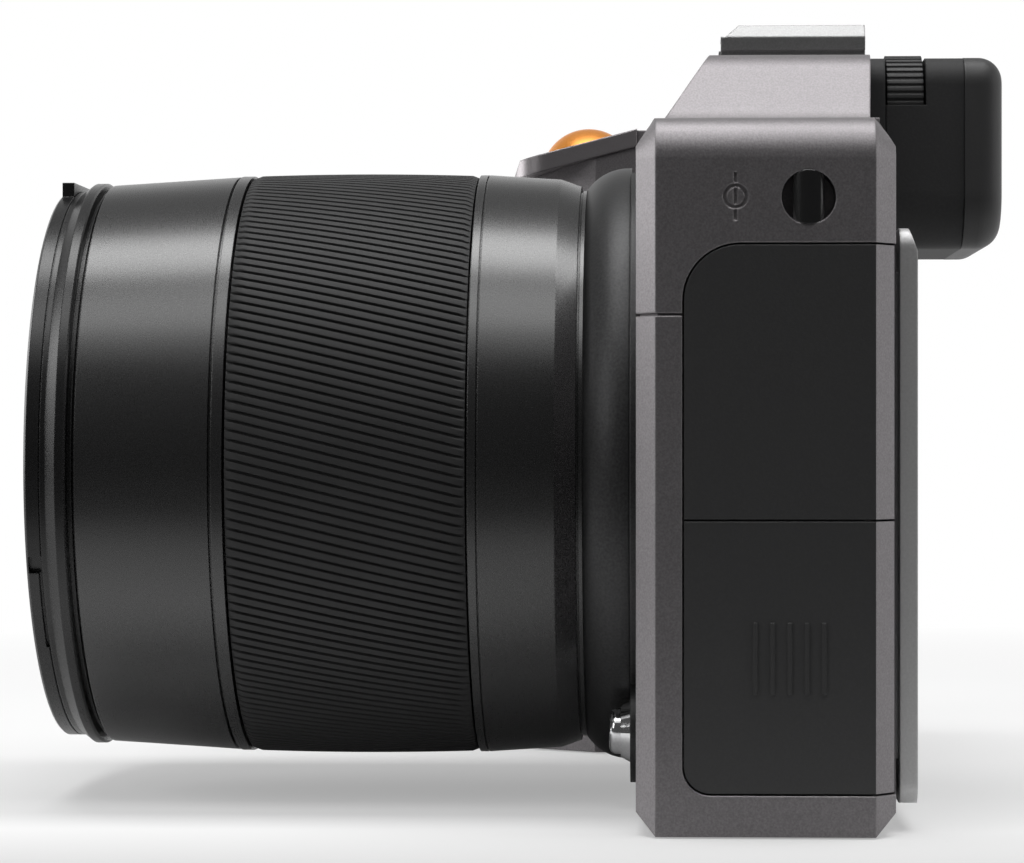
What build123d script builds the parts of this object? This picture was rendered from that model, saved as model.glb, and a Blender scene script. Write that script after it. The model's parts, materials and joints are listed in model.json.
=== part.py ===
from build123d import *
import math
import os

# Medium format digital camera with its lens fitted, in millimetres.
# X = 0 is the optical axis, +X is the camera's left side with the two doors,
# -Y is the way the lens points, +Z is up. The origin is the mouth of the
# tripod socket on the base, under the optical axis, in the sensor plane.

# General fits
gap = 0.3
runFit = 0.05
overrun = 5.0

# Body outline
leftX = 58.0
gripX = -92.4
frontY = -11.6
rearY = 18.8
edgeX = 3.0
frontEdgeY = 2.3
rearEdgeY = 2.5
baseEdgeZ = 2.6
bodyWall = 2.0
seamZ = 60.6
seamWide = 0.3
seamDeep = 0.5
baseFloor = 2.6

# Grip outline
gripFrontY = -28.6
gripInnerX = -50.0
gripRootX = -45.0
gripNoseX = -57.0
gripOuterNoseX = -83.0
gripSideFrontY = -18.5
gripRootR = 6.0
gripNoseR = 9.0
gripSideR = 12.0
gripRearR = 5.0
gripSkin = 1.5
gripSkinBaseZ = 3.0
gripSkinTopZ = 76.0
gripSkinRootY = -13.0
gripSkinSideY = 4.0

# Top outline
sideTopZ = 84.0
sideTopFilletR = 5.0
humpFootX = 32.9
humpFootZ = 84.7
humpFootR = 8.0
humpEdgeX = 24.1
humpEdgeR = 7.0
humpFlatX = 20.0
humpTopZ = 94.85
deckStepX = -27.0
deckZ = 91.6
deckOuterX = -88.5
deckOuterZ = 87.0
sideFilletR = 4.0
slopeFootZ = 80.6
slopeTopY = -2.5
rearTopEdgeY = 17.0
rearSlopeY = 17.65
rearSlopeZ = 83.4
rearTopEdgeZ = 80.5
roofInnerZ = 77.0
roofInnerRearY = 15.0
contactRoomZ = 80.4
contactRoomHalfX = 20.0
contactRoomRearY = -5.0

# Grip top plate, tilted down to the front
plateTilt = 14.6
plateFrontY = -29.6
plateRearY = -12.3
plateRearZ = 91.8
plateThick = 2.5
plateInnerX = -49.6
plateOuterX = -91.6
plateCornerR = 5.0
plateNose = 1.1

# Lens axis and mount
lensZ = 43.0
flangeY = -18.14
collarFrontR = 36.2
collarMidY = -16.1
collarMidStep = 2.05
collarMidR = collarFrontR + collarMidStep
collarRearStep = 2.85
collarRearR = collarFrontR + collarRearStep
collarLip = 0.25
mountPlateThick = 0.9
mountPlateStep = 0.8
mountPlateR = collarRearR + mountPlateStep
mountPlateLobeX = 27.0
mountPlateLobeZ = 9.7
mountPlateLobeR = 6.4
mountRingWide = 4.0
throatR = collarFrontR - mountRingWide
lugDeep = 2.8
lugInnerR = throatR - lugDeep
lugThick = 2.0
lugCount = 3
lugArc = 54.0
mountScrewR = 0.9
mountScrewHeadR = 1.3
screwInset = 1.9
mountScrewPitchR = collarFrontR - screwInset
mountScrewCount = 6
mountScrewHead = 0.7
mountScrewLong = 5.0
mountScrewTurn = 15.0
lugTurn = 30.0
contactBarArc = 50.0
contactPinCount = 10
contactPinR = 0.55
contactBarY = -10.4
contactBarThick = 2.6

# Lens release
releaseX = 27.0
releaseZ = 9.7
releaseR = 2.9
releaseFrontY = -15.15
releaseStroke = 1.2
releaseDome = 0.9
bezelR = 3.9
bezelLip = 0.35
bezelFrontY = -13.7
lockPinR = 0.9
lockPinPitchR = collarFrontR - screwInset
lockPinProud = 0.7
lockSlotArc = 66.0
lensTwist = 60.0
linkY = -9.2
linkR = 3.4

# Sensor and electronics
sensorHalfX = 21.9
sensorHalfZ = 16.45
sensorThick = 1.6
packageMargin = 5.0
coverGlassThick = 1.2
coverGlassY = -3.2
frameHalfX = 33.0
frameHalfZ = 27.0
frameRearY = 4.0
frameFrontY = -6.0
linkThick = frameFrontY - linkY - releaseStroke - 2 * gap
boardThick = 1.2
boardY = 9.0
boardX0 = -38.0
boardX1 = 38.0
boardZ0 = 8.0
boardZ1 = 62.0

# Rear display
displayX0 = -34.0
displayX1 = 50.0
displayZ0 = 3.0
displayZ1 = 71.3
displayY0 = 19.6
displayY1 = 21.7
displayRim = 3.0
displayGlassThick = 0.9
displayCornerR = 2.5
displayEdgeY = 1.0
displayEdgeZ = 2.8
displayFootX = 78.0
displayFootZ = 58.0

# Viewfinder
evfHalfX = 20.0
evfZ0 = 70.65
evfZ1 = 94.85
evfY0 = 17.0
evfY1 = 29.8
evfCornerR = 3.6
evfBottomR = 7.0
evfSeamWide = 0.15
evfSeamDeep = 0.2
evfWall = 2.0
eyecupY1 = 34.7
eyecupLip = 3.0
eyecupHalfX = 20.4
eyecupOpenHalfX = 13.5
eyecupOpenHalfZ = 8.1
eyecupCornerR = 3.0
eyepieceHalfX = 11.0
eyepieceHalfZ = 8.0
eyepieceThick = 3.0
eyepieceY = 27.2
panelHalfX = 6.8
panelHalfZ = 5.6
panelThick = 2.0
diopterX = 13.2
diopterZ = 89.3
diopterShowZ = 88.6
diopterR = 6.2
diopterY0 = 20.05
diopterY1 = 24.65
diopterShaftR = 1.2
diopterShaftLong = 1.2
diopterRibs = 40
diopterRibR = 0.22

# Hot shoe
shoeHalfX = 10.6
shoeY0 = -0.95
shoeY1 = 17.75
shoeNeckZ = 96.7
shoeNeckIn = 0.5
shoeFloor = 1.0
shoeWallZ = 98.4
shoeLipZ = 100.0
shoeLipUnderZ = 97.9
shoeWall = 1.3
shoeLip = 2.9
shoeLipChamfer = 1.2
shoeStop = 1.4
shoePadRearY = 15.2
shoeContactR = 0.9
shoeContactPitch = 4.3
shoeContactRise = 0.25
shoePadX = 7.2
shoePadY0 = 1.5
shoePadThick = 0.5

# Buttons and dials on the grip side
shutterX = -70.0
shutterY = -20.7
shutterR = 6.4
shutterStroke = 1.2
shutterDome = 3.8
shutterSkirt = 1.0
shutterWell = 3.4
frontWheelX = -70.0
frontWheelY = -21.8
frontWheelZ = 79.0
frontWheelR = 8.0
frontWheelHalf = 2.4
wheelShaftR = 1.5
wheelShaftLong = 1.6
rearWheelX = -69.0
rearWheelY = 11.8
rearWheelZ = 83.4
rearWheelR = 8.0
rearWheelHalf = 2.2
wheelNotchR = 0.35
wheelNotches = 32
modeDialX = -44.0
modeDialY = 5.0
modeDialR = 8.6
modeDialProud = 0.6
modeDialLift = 3.6
modeDialKeep = 1.0
modeDialHigh = modeDialLift + modeDialKeep
modeStemR = 3.0
modeStemLong = 11.0
modeNotches = 36
modeNotchR = 0.3
topKeyR = 3.0
topKeyProud = 0.5
topKeyLong = 4.0
topKeyStroke = 0.6
powerX = -82.0
powerY = -3.0
focusModeX = -61.5
focusModeY = -4.5
isoX = -71.5
isoY = -4.5
rearKeyStroke = 0.6
thumbKeyR = 2.7
thumbKeyProud = 0.5
thumbKeyLong = 3.2
exposureLockX = -47.0
focusDriveX = -55.0
thumbKeyZ = 76.0
keyX = -44.5
keyHalfX = 3.4
keyHalfZ = 2.6
keyFirstZ = 12.0
keyPitch = 11.0
keyCount = 5
keyProud = 0.5
keyLong = 2.6
keyCornerR = 1.2

# Doors on the left side
doorFrontY = -6.2
doorTopZ = 69.1
doorSplitZ = 36.8
doorBaseZ = 4.8
doorThick = 2.0
doorTopR = 6.5
doorBaseR = 3.1
doorSeam = 0.25
doorPinR = 0.3
doorEarR = 0.6
doorEarFit = 0.1
doorSwingFit = 0.05
doorEarLong = 2.4
doorEarInset = 3.0
doorRidges = 5
doorRidgePitch = 2.0
doorRidgeWide = 0.5
doorRidgeHigh = 0.25
doorRidgeZ0 = 16.6
doorRidgeZ1 = 24.9
doorRidgeY0 = 2.3
doorLedge = 2.2
bayDeep = 3.2
blockDeep = 9.0
blockHalfY = 7.0
jackR = 1.8
jackDeep = 6.0
jackHalfPitch = 4.0
jackZ = 62.0
usbHalfY = 4.5
usbHalfZ = 1.6
usbZ = 45.0
videoHalfY = 5.6
videoHalfZ = 1.7
videoZ = 52.5
cardSlotHalfZ = 12.2
cardSlotHalfY = 1.1
cardSlotPitch = 6.0

# Strap lugs
strapY = 8.5
strapZ = 74.4
strapR = 3.16
strapDeep = 3.4
strapBarHalf = 1.85
strapBarProud = 0.2
strapBarThick = 1.2
strapBarR = 2.6
markZ = 74.5
markR = 1.45
markBarHalf = 2.8
markWide = 0.4
markBreak = 0.12
markDeep = 0.25

# Battery, latch and base
batteryX0 = -85.5
batteryX1 = -55.5
batteryY0 = -21.5
batteryY1 = -1.5
batteryTopZ = 66.0
batteryBaseZ = 0.4
batteryCornerR = 3.0
gripRoomX0 = -88.4
gripRoomX1 = -50.0
gripRoomY0 = 0.8
gripRoomY1 = 15.0
gripRoomZ0 = 5.0
gripRoomZ1 = 72.0
batteryFootMargin = 1.2
contactBlockThick = 3.0
contactSpringHalf = 0.8
contactSpringRise = 0.6
contactSpringPitch = 4.0
contactSpringCount = 5
latchX = -69.5
latchY = 4.0
latchPivotR = 1.6
latchLong = 9.0
latchHalf = 2.0
latchThick = 1.4
latchPocketZ = 2.0
tripodR = 3.175
tripodDeep = 6.0
tripodOuterR = 6.0
tripodFlangeR = 8.0
tripodFlange = 1.0

# Lens barrels, from front to back
rimY = -87.3
rimR = 36.15
rimInnerR = 33.5
filterDeep = 4.2
rimChamfer = 0.3
rimSeamY = -85.45
rimSeamWide = 0.15
rimSeamDeep = 0.25
rimBevelY = -84.6
rimShoulderY = -83.25
rimShoulderR = 37.2
rimBackY = -81.95
rimBackChamfer = 0.25
rimRidgeY = -81.42
rimRidgeWide = 0.15
rimRidgeDown = 0.5
frontBarrelY = -80.9
frontBarrelR = 36.95
grooveDeep = 0.45
frontBarrelBackR = 38.0
frontBarrelBackY = -64.3
frontGapR = 37.2
bandFrontY = -63.9
bandBackY = -62.5
bandR = 38.1
focusFrontY = -62.2
focusBackY = -32.7
focusR = 38.35
focusCrown = 0.25
focusBoreR = 35.0
ringGrooves = 33
ringGrooveDeep = 0.45
ringGrooveWide = 0.8
ringGrooveEnd = 0.7
ringTwist = 11.0
rearBandY = -32.4
rearBandBackY = -31.4
rearBarrelY = -31.2
rearBarrelBendY = -21.8
rearBarrelR = 38.2
rearBarrelBendR = 37.6
taperEndY = -19.15
taperEndR = 36.65
skirtFit = 0.1
rearGrooveR = collarFrontR - skirtFit
skirtStep = 0.25
skirtWall = 0.5
bayonetFlangeR = rearGrooveR - skirtWall
innerR = 32.0
rearGlassR = 18.0
bayonetTubeFit = 1.0
bayonetTubeR = lugInnerR - bayonetTubeFit
bayonetTubeWall = 2.8
bayonetTubeInR = bayonetTubeR - bayonetTubeWall
bayonetRearY = -11.6
bayonetLugFit = 0.6
bayonetLugR = throatR - bayonetLugFit
bayonetLugThick = 1.8
contactBarWall = 0.4
contactBarInnerR = bayonetTubeInR - contactBarWall
contactPinInset = 1.0
contactPinPitchR = bayonetTubeInR + contactPinInset
lensPadCount = 10
lensPadThick = 0.4
hoodBumpHalf = 9.5
hoodBumpHigh = 0.6
hoodSlotDeep = 0.9
hoodSlotArc = 3.5
hoodSlotTurns = [-20.1, 99.9, 219.9]
hoodTrackWide = 0.35
hoodTrackDeep = 0.6
hoodTrackArc = 17.5
contactBarTurn = 90.0
coneFrontR = 31.2
coneBackR = 21.5
coneBackY = -72.0
frontGlassR = 23.0
frontGlassY = -72.0
frontGlassSeat = 1.0
frontGlassBulge = 4.0
frontGlassThick = 5.0
shutterUnitY = -62.0
shutterUnitThick = 9.0
shutterUnitBoreR = 11.0
rearGlassY = -30.0
rearGlassThick = 5.0
rearGlassBulge = 2.0
carriageThick = 8.0
carriageR = 27.0
carriageBoreR = 14.0
focusTravel = 5.0
carriageRoom = 4.0
carriageY = shutterUnitY + shutterUnitThick + carriageRoom + focusTravel
rodR = 1.0
rodPitchR = 23.5
tubeWall = 1.8


def block(x0, x1, y0, y1, z0, z1):
    return Pos((x0 + x1) / 2, (y0 + y1) / 2, (z0 + z1) / 2) * Box(abs(x1 - x0), abs(y1 - y0), abs(z1 - z0))


def rodY(r, y0, y1, x, z):
    return Pos(x, (y0 + y1) / 2, z) * Rot(90, 0, 0) * Rot(0, 0, -90) * Cylinder(r, abs(y1 - y0))


def rodZ(r, z0, z1, x, y):
    return Pos(x, y, (z0 + z1) / 2) * Cylinder(r, abs(z1 - z0))


def rodX(r, x0, x1, y, z):
    return Pos((x0 + x1) / 2, y, z) * Rot(0, 90, 0) * Cylinder(r, abs(x1 - x0))


def turned(points):
    # points are radius and Y, turned round the optical axis, with the seam at the underside
    section = Face(Wire.make_polygon([Vector(r, y, 0) for r, y in points]))
    return Pos(0, 0, lensZ) * Rot(0, 90, 0) * revolve(section, Axis.Y)


def ring(rIn, rOut, y0, y1):
    return turned([(rIn, y0), (rOut, y0), (rOut, y1), (rIn, y1)])


def sector(rIn, rOut, y0, y1, midDeg, arcDeg):
    # part of a ring round the optical axis, angles counted from +X towards +Z
    face = Face(Wire.make_polygon([
        Vector(rIn, y0, 0), Vector(rOut, y0, 0), Vector(rOut, y1, 0), Vector(rIn, y1, 0)
    ]))
    solid = revolve(face, Axis.Y, revolution_arc=arcDeg)
    return Pos(0, 0, lensZ) * Rot(0, -(midDeg + arcDeg / 2), 0) * solid


def outlineZ(points, z0, z1, rounds):
    # upright prism of a plan outline, with some corners rounded
    face = Face(Wire.make_polygon([Vector(x, y, 0) for x, y in points]))
    for (x, y), radius in rounds:
        near = face.vertices().sort_by_distance((x, y, 0))[0]
        face = face.fillet_2d(radius, [near])
    return Pos(0, 0, z0) * extrude(face, z1 - z0, dir=(0, 0, 1))


def profileY(points, y0, y1, rounds):
    # prism of a front-view outline of X and Z points, from y0 to y1
    face = Face(Wire.make_polygon([Vector(x, 0, z) for x, z in points]))
    for (x, z), radius in rounds:
        near = face.vertices().sort_by_distance((x, 0, z))[0]
        face = face.fillet_2d(radius, [near])
    return Pos(0, y0, 0) * extrude(face, y1 - y0, dir=(0, 1, 0))


def profileX(points, x0, x1, rounds):
    # prism of a side-view outline of Y and Z points, from x0 to x1
    face = Face(Wire.make_polygon([Vector(0, y, z) for y, z in points]))
    for (y, z), radius in rounds:
        near = face.vertices().sort_by_distance((0, y, z))[0]
        face = face.fillet_2d(radius, [near])
    return Pos(x0, 0, 0) * extrude(face, x1 - x0, dir=(1, 0, 0))


def roundedY(halfX, halfZ, r, y0, y1, x, z):
    return Pos(x, (y0 + y1) / 2, z) * Rot(90, 0, 0) * extrude(
        RectangleRounded(2 * halfX, 2 * halfZ, r), (y1 - y0) / 2, both=True
    )


def roundedZ(halfX, halfY, r, z0, z1, x, y):
    return Pos(x, y, (z0 + z1) / 2) * extrude(
        RectangleRounded(2 * halfX, 2 * halfY, r), (z1 - z0) / 2, both=True
    )


def save(shape, name):
    solids = shape.solids()
    print(name, len(solids), "solids", round(sum(s.volume for s in solids)), "mm3")
    export_step(
        Compound(children=list(solids)) if len(solids) > 1 else solids[0], "parts/" + name + ".step"
    )


# Plan outline of the body with the grip
gripRearCorner = (gripX, rearY)
gripSideCorner = (gripX, gripSideFrontY)
gripOuterNose = (gripOuterNoseX, gripFrontY)
gripNose = (gripNoseX, gripFrontY)
gripInnerCorner = (gripInnerX, gripSideFrontY)
gripRoot = (gripRootX, frontY)
planGrip = [gripRearCorner, gripSideCorner, gripOuterNose, gripNose, gripInnerCorner, gripRoot]
planLeft = [(leftX, frontY + frontEdgeY), (leftX, rearY - rearEdgeY), (leftX - edgeX, rearY)]
planPoints = planLeft + planGrip + [(leftX - edgeX, frontY)]
planSquare = [(leftX, frontY), (leftX, rearY)] + planGrip
planRounds = [
    (gripRearCorner, gripRearR),
    (gripSideCorner, gripSideR),
    (gripOuterNose, gripNoseR),
    (gripNose, gripNoseR / 2),
    (gripInnerCorner, gripNoseR / 2),
    (gripRoot, gripRootR),
]


def plateTopZ(y):
    return plateRearZ + (y - plateRearY) * math.tan(math.radians(plateTilt))


plateDrop = plateThick / math.cos(math.radians(plateTilt))
plateSeatFrontY = gripFrontY - overrun
tiltAxis = Vector(0, -math.sin(math.radians(plateTilt)), math.cos(math.radians(plateTilt)))


rollX = leftX - sideTopFilletR
rollZ = sideTopZ - sideTopFilletR


def sideRoll():
    # the rounded upper left edge of the body, its ends chamfered as the upright edges are
    flat = sideTopFilletR - edgeX
    section = [
        (0, frontY),
        (flat, frontY),
        (sideTopFilletR, frontY + frontEdgeY),
        (sideTopFilletR, rearY - rearEdgeY),
        (flat, rearY),
        (0, rearY),
    ]
    face = Face(Wire.make_polygon([Vector(r, y, 0) for r, y in section]))
    return Pos(rollX, 0, rollZ) * revolve(face, Axis.Y)


def planForm():
    # the body's plan raised to the hump's height, the upper left edge rolled over
    lower = outlineZ(planPoints, 0, rollZ, planRounds)
    upper = outlineZ(planSquare, rollZ, humpTopZ, planRounds)
    corner = block(rollX, leftX + overrun, frontY - overrun, rearY + overrun, rollZ, humpTopZ + overrun)
    return lower + (upper - corner) + (corner & sideRoll())


def outerForm():
    # the whole metal outside of the camera body, from the base to the hump
    solid = planForm()
    gripSide = (gripX, deckOuterZ)
    deckEnd = (deckOuterX, deckZ)
    humpEdge = (humpEdgeX, humpTopZ)
    humpFoot = (humpFootX, humpFootZ)
    front = [
        (gripX, 0),
        gripSide,
        deckEnd,
        (deckStepX, deckZ),
        (-humpFlatX, humpTopZ),
        humpEdge,
        humpFoot,
        (rollX, sideTopZ),
        (leftX, sideTopZ),
        (leftX, 0),
    ]
    rounds = [
        (gripSide, sideFilletR),
        (deckEnd, sideFilletR),
        (humpEdge, humpEdgeR),
        (humpFoot, humpFootR),
    ]
    solid = solid & profileY(front, gripFrontY - overrun, rearY + overrun, rounds)
    rear = [
        (rearSlopeY, humpTopZ),
        (rearTopEdgeY, rearSlopeZ),
        (rearY, rearTopEdgeZ),
        (rearY, baseEdgeZ),
        (rearY - rearEdgeY, 0),
    ]
    main = [
        (frontY + frontEdgeY, 0), (frontY, baseEdgeZ), (frontY, slopeFootZ), (slopeTopY, humpTopZ)
    ] + rear
    grip = [
        (plateSeatFrontY, 0),
        (plateSeatFrontY, plateTopZ(plateSeatFrontY) - plateDrop),
        (plateRearY, plateRearZ - plateDrop),
        (plateRearY, humpTopZ),
    ] + rear
    mainPart = solid & profileX(main, gripInnerX, leftX + overrun, [])
    gripPart = solid & profileX(grip, gripX - overrun, gripInnerX, [])
    return mainPart + gripPart


# Inside of the body
cavityX0 = keyX + keyHalfX + bodyWall
cavityX1 = leftX - doorThick - gap - bodyWall
cavityY0 = frontY + bodyWall
cavityY1 = rearY - bodyWall


def cavity(z0, z1):
    return block(cavityX0, cavityX1, cavityY0, cavityY1, z0, z1)


# Doors: each has a side wall and a flange over the rear edge, where its hinge is
edgeRun = math.hypot(edgeX, rearEdgeY)
edgeAlong = Vector(-edgeX / edgeRun, rearEdgeY / edgeRun, 0)
edgeOut = Vector(rearEdgeY / edgeRun, edgeX / edgeRun, 0)
edgeTurn = math.degrees(math.atan2(edgeX, rearEdgeY))
doorEnd = Vector(leftX - edgeX, rearY, 0)
doorAxis = doorEnd - edgeAlong * (doorThick / 2) - edgeOut * (doorThick / 2)


def doorSection():
    # plan of a door from its free front edge to its hinge edge at the rear
    y0 = doorFrontY + doorSeam
    innerX = leftX - doorThick
    inner = doorEnd - edgeOut * doorThick
    bendY = inner.Y - (innerX - inner.X) * rearEdgeY / edgeX
    return [
        (leftX, y0), (leftX, rearY - rearEdgeY), (doorEnd.X, doorEnd.Y), (inner.X, inner.Y),
        (innerX, bendY), (innerX, y0)
    ]


def hingeBlock(out0, out1, along0, along1, z0, z1):
    # block in the hinge's own directions: outwards from the edge face, and along it
    return Pos(doorAxis.X, doorAxis.Y, 0) * Rot(0, 0, edgeTurn) * block(out0, out1, along0, along1, z0, z1)


def doorOutline(z0, z1, cornerAtTop, radius, grow):
    # side view of a door, grown by the seam for the pocket that it lies in
    y0 = doorFrontY + doorSeam - grow
    base = (y0, z0 - grow)
    top = (y0, z1 + grow)
    points = [base, (rearY + overrun, z0 - grow), (rearY + overrun, z1 + grow), top]
    corner = top if cornerAtTop else base
    return profileX(points, leftX - bayDeep - bodyWall, leftX + overrun, [(corner, radius + grow)])


doors = {
    "connector_door": (doorSplitZ + doorSeam / 2, doorTopZ - doorSeam, True, doorTopR),
    "card_door": (doorBaseZ + doorSeam, doorSplitZ - doorSeam / 2, False, doorBaseR),
}


def earPlaces(name):
    # the two body ears that hold a door's pin, near the ends of its hinge edge
    z0, z1, cornerAtTop, radius = doors[name]
    low = z0 + doorEarInset
    high = min(z1, seamZ) - doorEarInset
    return [(low, low + doorEarLong), (high - doorEarLong, high)]


def doorSolid(name):
    z0, z1, cornerAtTop, radius = doors[name]
    half = doorThick / 2
    swing = half + doorSeam - doorSwingFit
    edge = hingeBlock(-half, half, 0, half, z0, z1) & rodZ(swing, z0, z1, doorAxis.X, doorAxis.Y)
    solid = outlineZ(doorSection(), z0, z1, []) - hingeBlock(
        -doorThick, doorThick, 0, doorThick, z0, z1
    ) + edge
    solid = solid & doorOutline(z0, z1, cornerAtTop, radius, 0)
    solid -= rodZ(doorPinR + runFit, z0 - overrun, z1 + overrun, doorAxis.X, doorAxis.Y)
    reach = doorEarR + doorEarFit
    for low, high in earPlaces(name):
        solid -= hingeBlock(-doorThick, reach, -reach, doorThick, low - doorSeam, high + doorSeam)
    return solid


def doorRidgeBars():
    bars = []
    for i in range(doorRidges):
        y = doorRidgeY0 + i * doorRidgePitch
        half = doorRidgeWide / 2
        bars.append(block(
            leftX - doorThick / 2, leftX + doorRidgeHigh, y - half, y + half, doorRidgeZ0, doorRidgeZ1
        ))
    return bars


def doorPocket(name):
    # room for a door, seam wide all round
    z0, z1, cornerAtTop, radius = doors[name]
    floor = leftX - doorThick - gap
    lip = doorEnd + edgeAlong * doorSeam
    root = lip - edgeOut * (doorThick + gap)
    far = lip + edgeOut * overrun
    bendY = root.Y - (floor - root.X) * rearEdgeY / edgeX
    rearCut = outlineZ(
        [
            (floor, bendY), (root.X, root.Y), (far.X, far.Y), (leftX + overrun, far.Y),
            (leftX + overrun, bendY)
        ],
        z0 - overrun,
        z1 + overrun,
        [],
    )
    slab = block(floor, leftX + overrun, doorFrontY, rearY + overrun, z0 - overrun, z1 + overrun)
    return (slab + rearCut) & doorOutline(z0, z1, cornerAtTop, radius, doorSeam)


def bayHole(name):
    z0, z1, cornerAtTop, radius = doors[name]
    y0 = doorFrontY + doorSeam + doorLedge
    y1 = rearY - rearEdgeY - doorThick - doorLedge
    return block(cavityX1 - overrun, leftX, y0, y1, z0 + doorLedge, z1 - doorLedge)


def ears(name):
    result = []
    root = doorThick / 2 + gap + bodyWall / 2
    for low, high in earPlaces(name):
        barrel = rodZ(doorEarR, low, high, doorAxis.X, doorAxis.Y)
        arm = hingeBlock(-root, 0, -doorEarR, doorEarR, low, high)
        result.append(barrel + arm - rodZ(doorPinR, low - overrun, high + overrun, doorAxis.X, doorAxis.Y))
    return result


def frontHoles():
    # mount throat, release button well, lock pin hole through the front wall
    throat = rodY(collarFrontR - bodyWall, frontY - overrun, cavityY0 + overrun, 0, lensZ)
    well = rodY(releaseR + runFit + gap, frontY - overrun, cavityY0 + overrun, releaseX, releaseZ)
    x, z = onMount(lockPinPitchR, lockAngle())
    return throat + well + rodY(lockPinR + gap, frontY - overrun, cavityY0 + overrun, x, z)


def strapCup(sideX, sign):
    inner = sideX - sign * strapDeep
    return rodX(strapR, inner, sideX + sign * overrun, strapY, strapZ)


def batteryPocket():
    return block(
        batteryX0 - gap, batteryX1 + gap, batteryY0 - gap, batteryY1 + gap, -overrun,
        batteryTopZ + contactBlockThick
    )


def gripRoom():
    # hollow behind the battery
    return block(gripRoomX0, gripRoomX1, gripRoomY0, gripRoomY1, gripRoomZ0, gripRoomZ1)


keyZs = [keyFirstZ + i * keyPitch for i in range(keyCount)]
keyFloorY = rearY + keyProud - keyLong


def keyWell(z):
    return roundedY(
        keyHalfX + runFit, keyHalfZ + runFit, keyCornerR, keyFloorY - rearKeyStroke, rearY + overrun, keyX,
        z
    )


def bodyShell():
    solid = outerForm() & block(
        gripX - overrun, leftX + overrun, gripFrontY - overrun, rearY + overrun, 0, seamZ
    )
    solid -= cavity(baseFloor, seamZ + overrun)
    solid -= frontHoles()
    solid -= batteryPocket()
    solid -= gripRoom()
    for name in doors:
        solid -= doorPocket(name)
        solid -= bayHole(name)
    for name in doors:
        for ear in ears(name):
            solid += ear
    for z in keyZs:
        solid -= keyWell(z)
    solid -= rodZ(tripodOuterR, -overrun, baseFloor + overrun, 0, 0)
    solid -= rodZ(latchPivotR + runFit, -overrun, latchPocketZ + latchThick + gap, latchX, latchY)
    reach = latchLong + gap
    solid -= rodZ(reach, -overrun, latchPocketZ, latchX, latchY) & block(
        latchX - reach, latchX + reach, batteryY1 + gap + gap, latchY + reach, -overrun, latchPocketZ
    )
    solid -= gripSkinForm()
    return solid


def gripSkinForm():
    # the rubber's place: a layer off the grip's front and outer side
    tall = block(
        gripX - overrun, gripRootX, gripFrontY - overrun, gripSkinSideY, gripSkinBaseZ, gripSkinTopZ
    )
    outer = outlineZ(planPoints, 0, gripSkinTopZ, planRounds) & tall
    skin = outer - innerForm()
    return skin - block(
        gripRootX - overrun, gripRootX + overrun, gripSkinRootY, rearY, 0, gripSkinTopZ + overrun
    )


def innerForm():
    # the metal of the grip under the rubber
    s = gripSkin
    side = (gripX + s, gripSideFrontY + s / 2)
    outerNose = (gripOuterNoseX + s / 2, gripFrontY + s)
    points = [
        (gripX + s, rearY + overrun),
        side,
        outerNose,
        (gripNoseX - s / 2, gripFrontY + s),
        (gripInnerX - s, gripSideFrontY + s / 2),
        (gripRootX - s, frontY - s),
        (gripRootX - s, rearY + overrun),
    ]
    rounds = [(side, gripSideR - s), (outerNose, gripNoseR - s)]
    return outlineZ(points, gripSkinBaseZ - overrun, gripSkinTopZ + overrun, rounds)


def seamGroove():
    # the fine groove all round where the top cover meets the body shell
    whole = outlineZ(planPoints, seamZ, seamZ + seamWide, planRounds)
    face = whole.faces().sort_by(Axis.Z)[0]
    inner = offset(Face(face.outer_wire()), amount=-seamDeep, kind=Kind.INTERSECTION)
    core = extrude(inner, 2 * seamWide, dir=(0, 0, 1), both=True)
    return whole - core


def topKeyPlaces():
    return {
        "power_button": (powerX, powerY), "focus_mode_button": (focusModeX, focusModeY),
        "iso_button": (isoX, isoY)
    }


def thumbKeyPlaces():
    return {"exposure_lock_button": exposureLockX, "focus_drive_button": focusDriveX}


def wheelRoom(x, y, z, r, half):
    return rodZ(r + gap, z - half - gap, z + half + gap, x, y)


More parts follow.
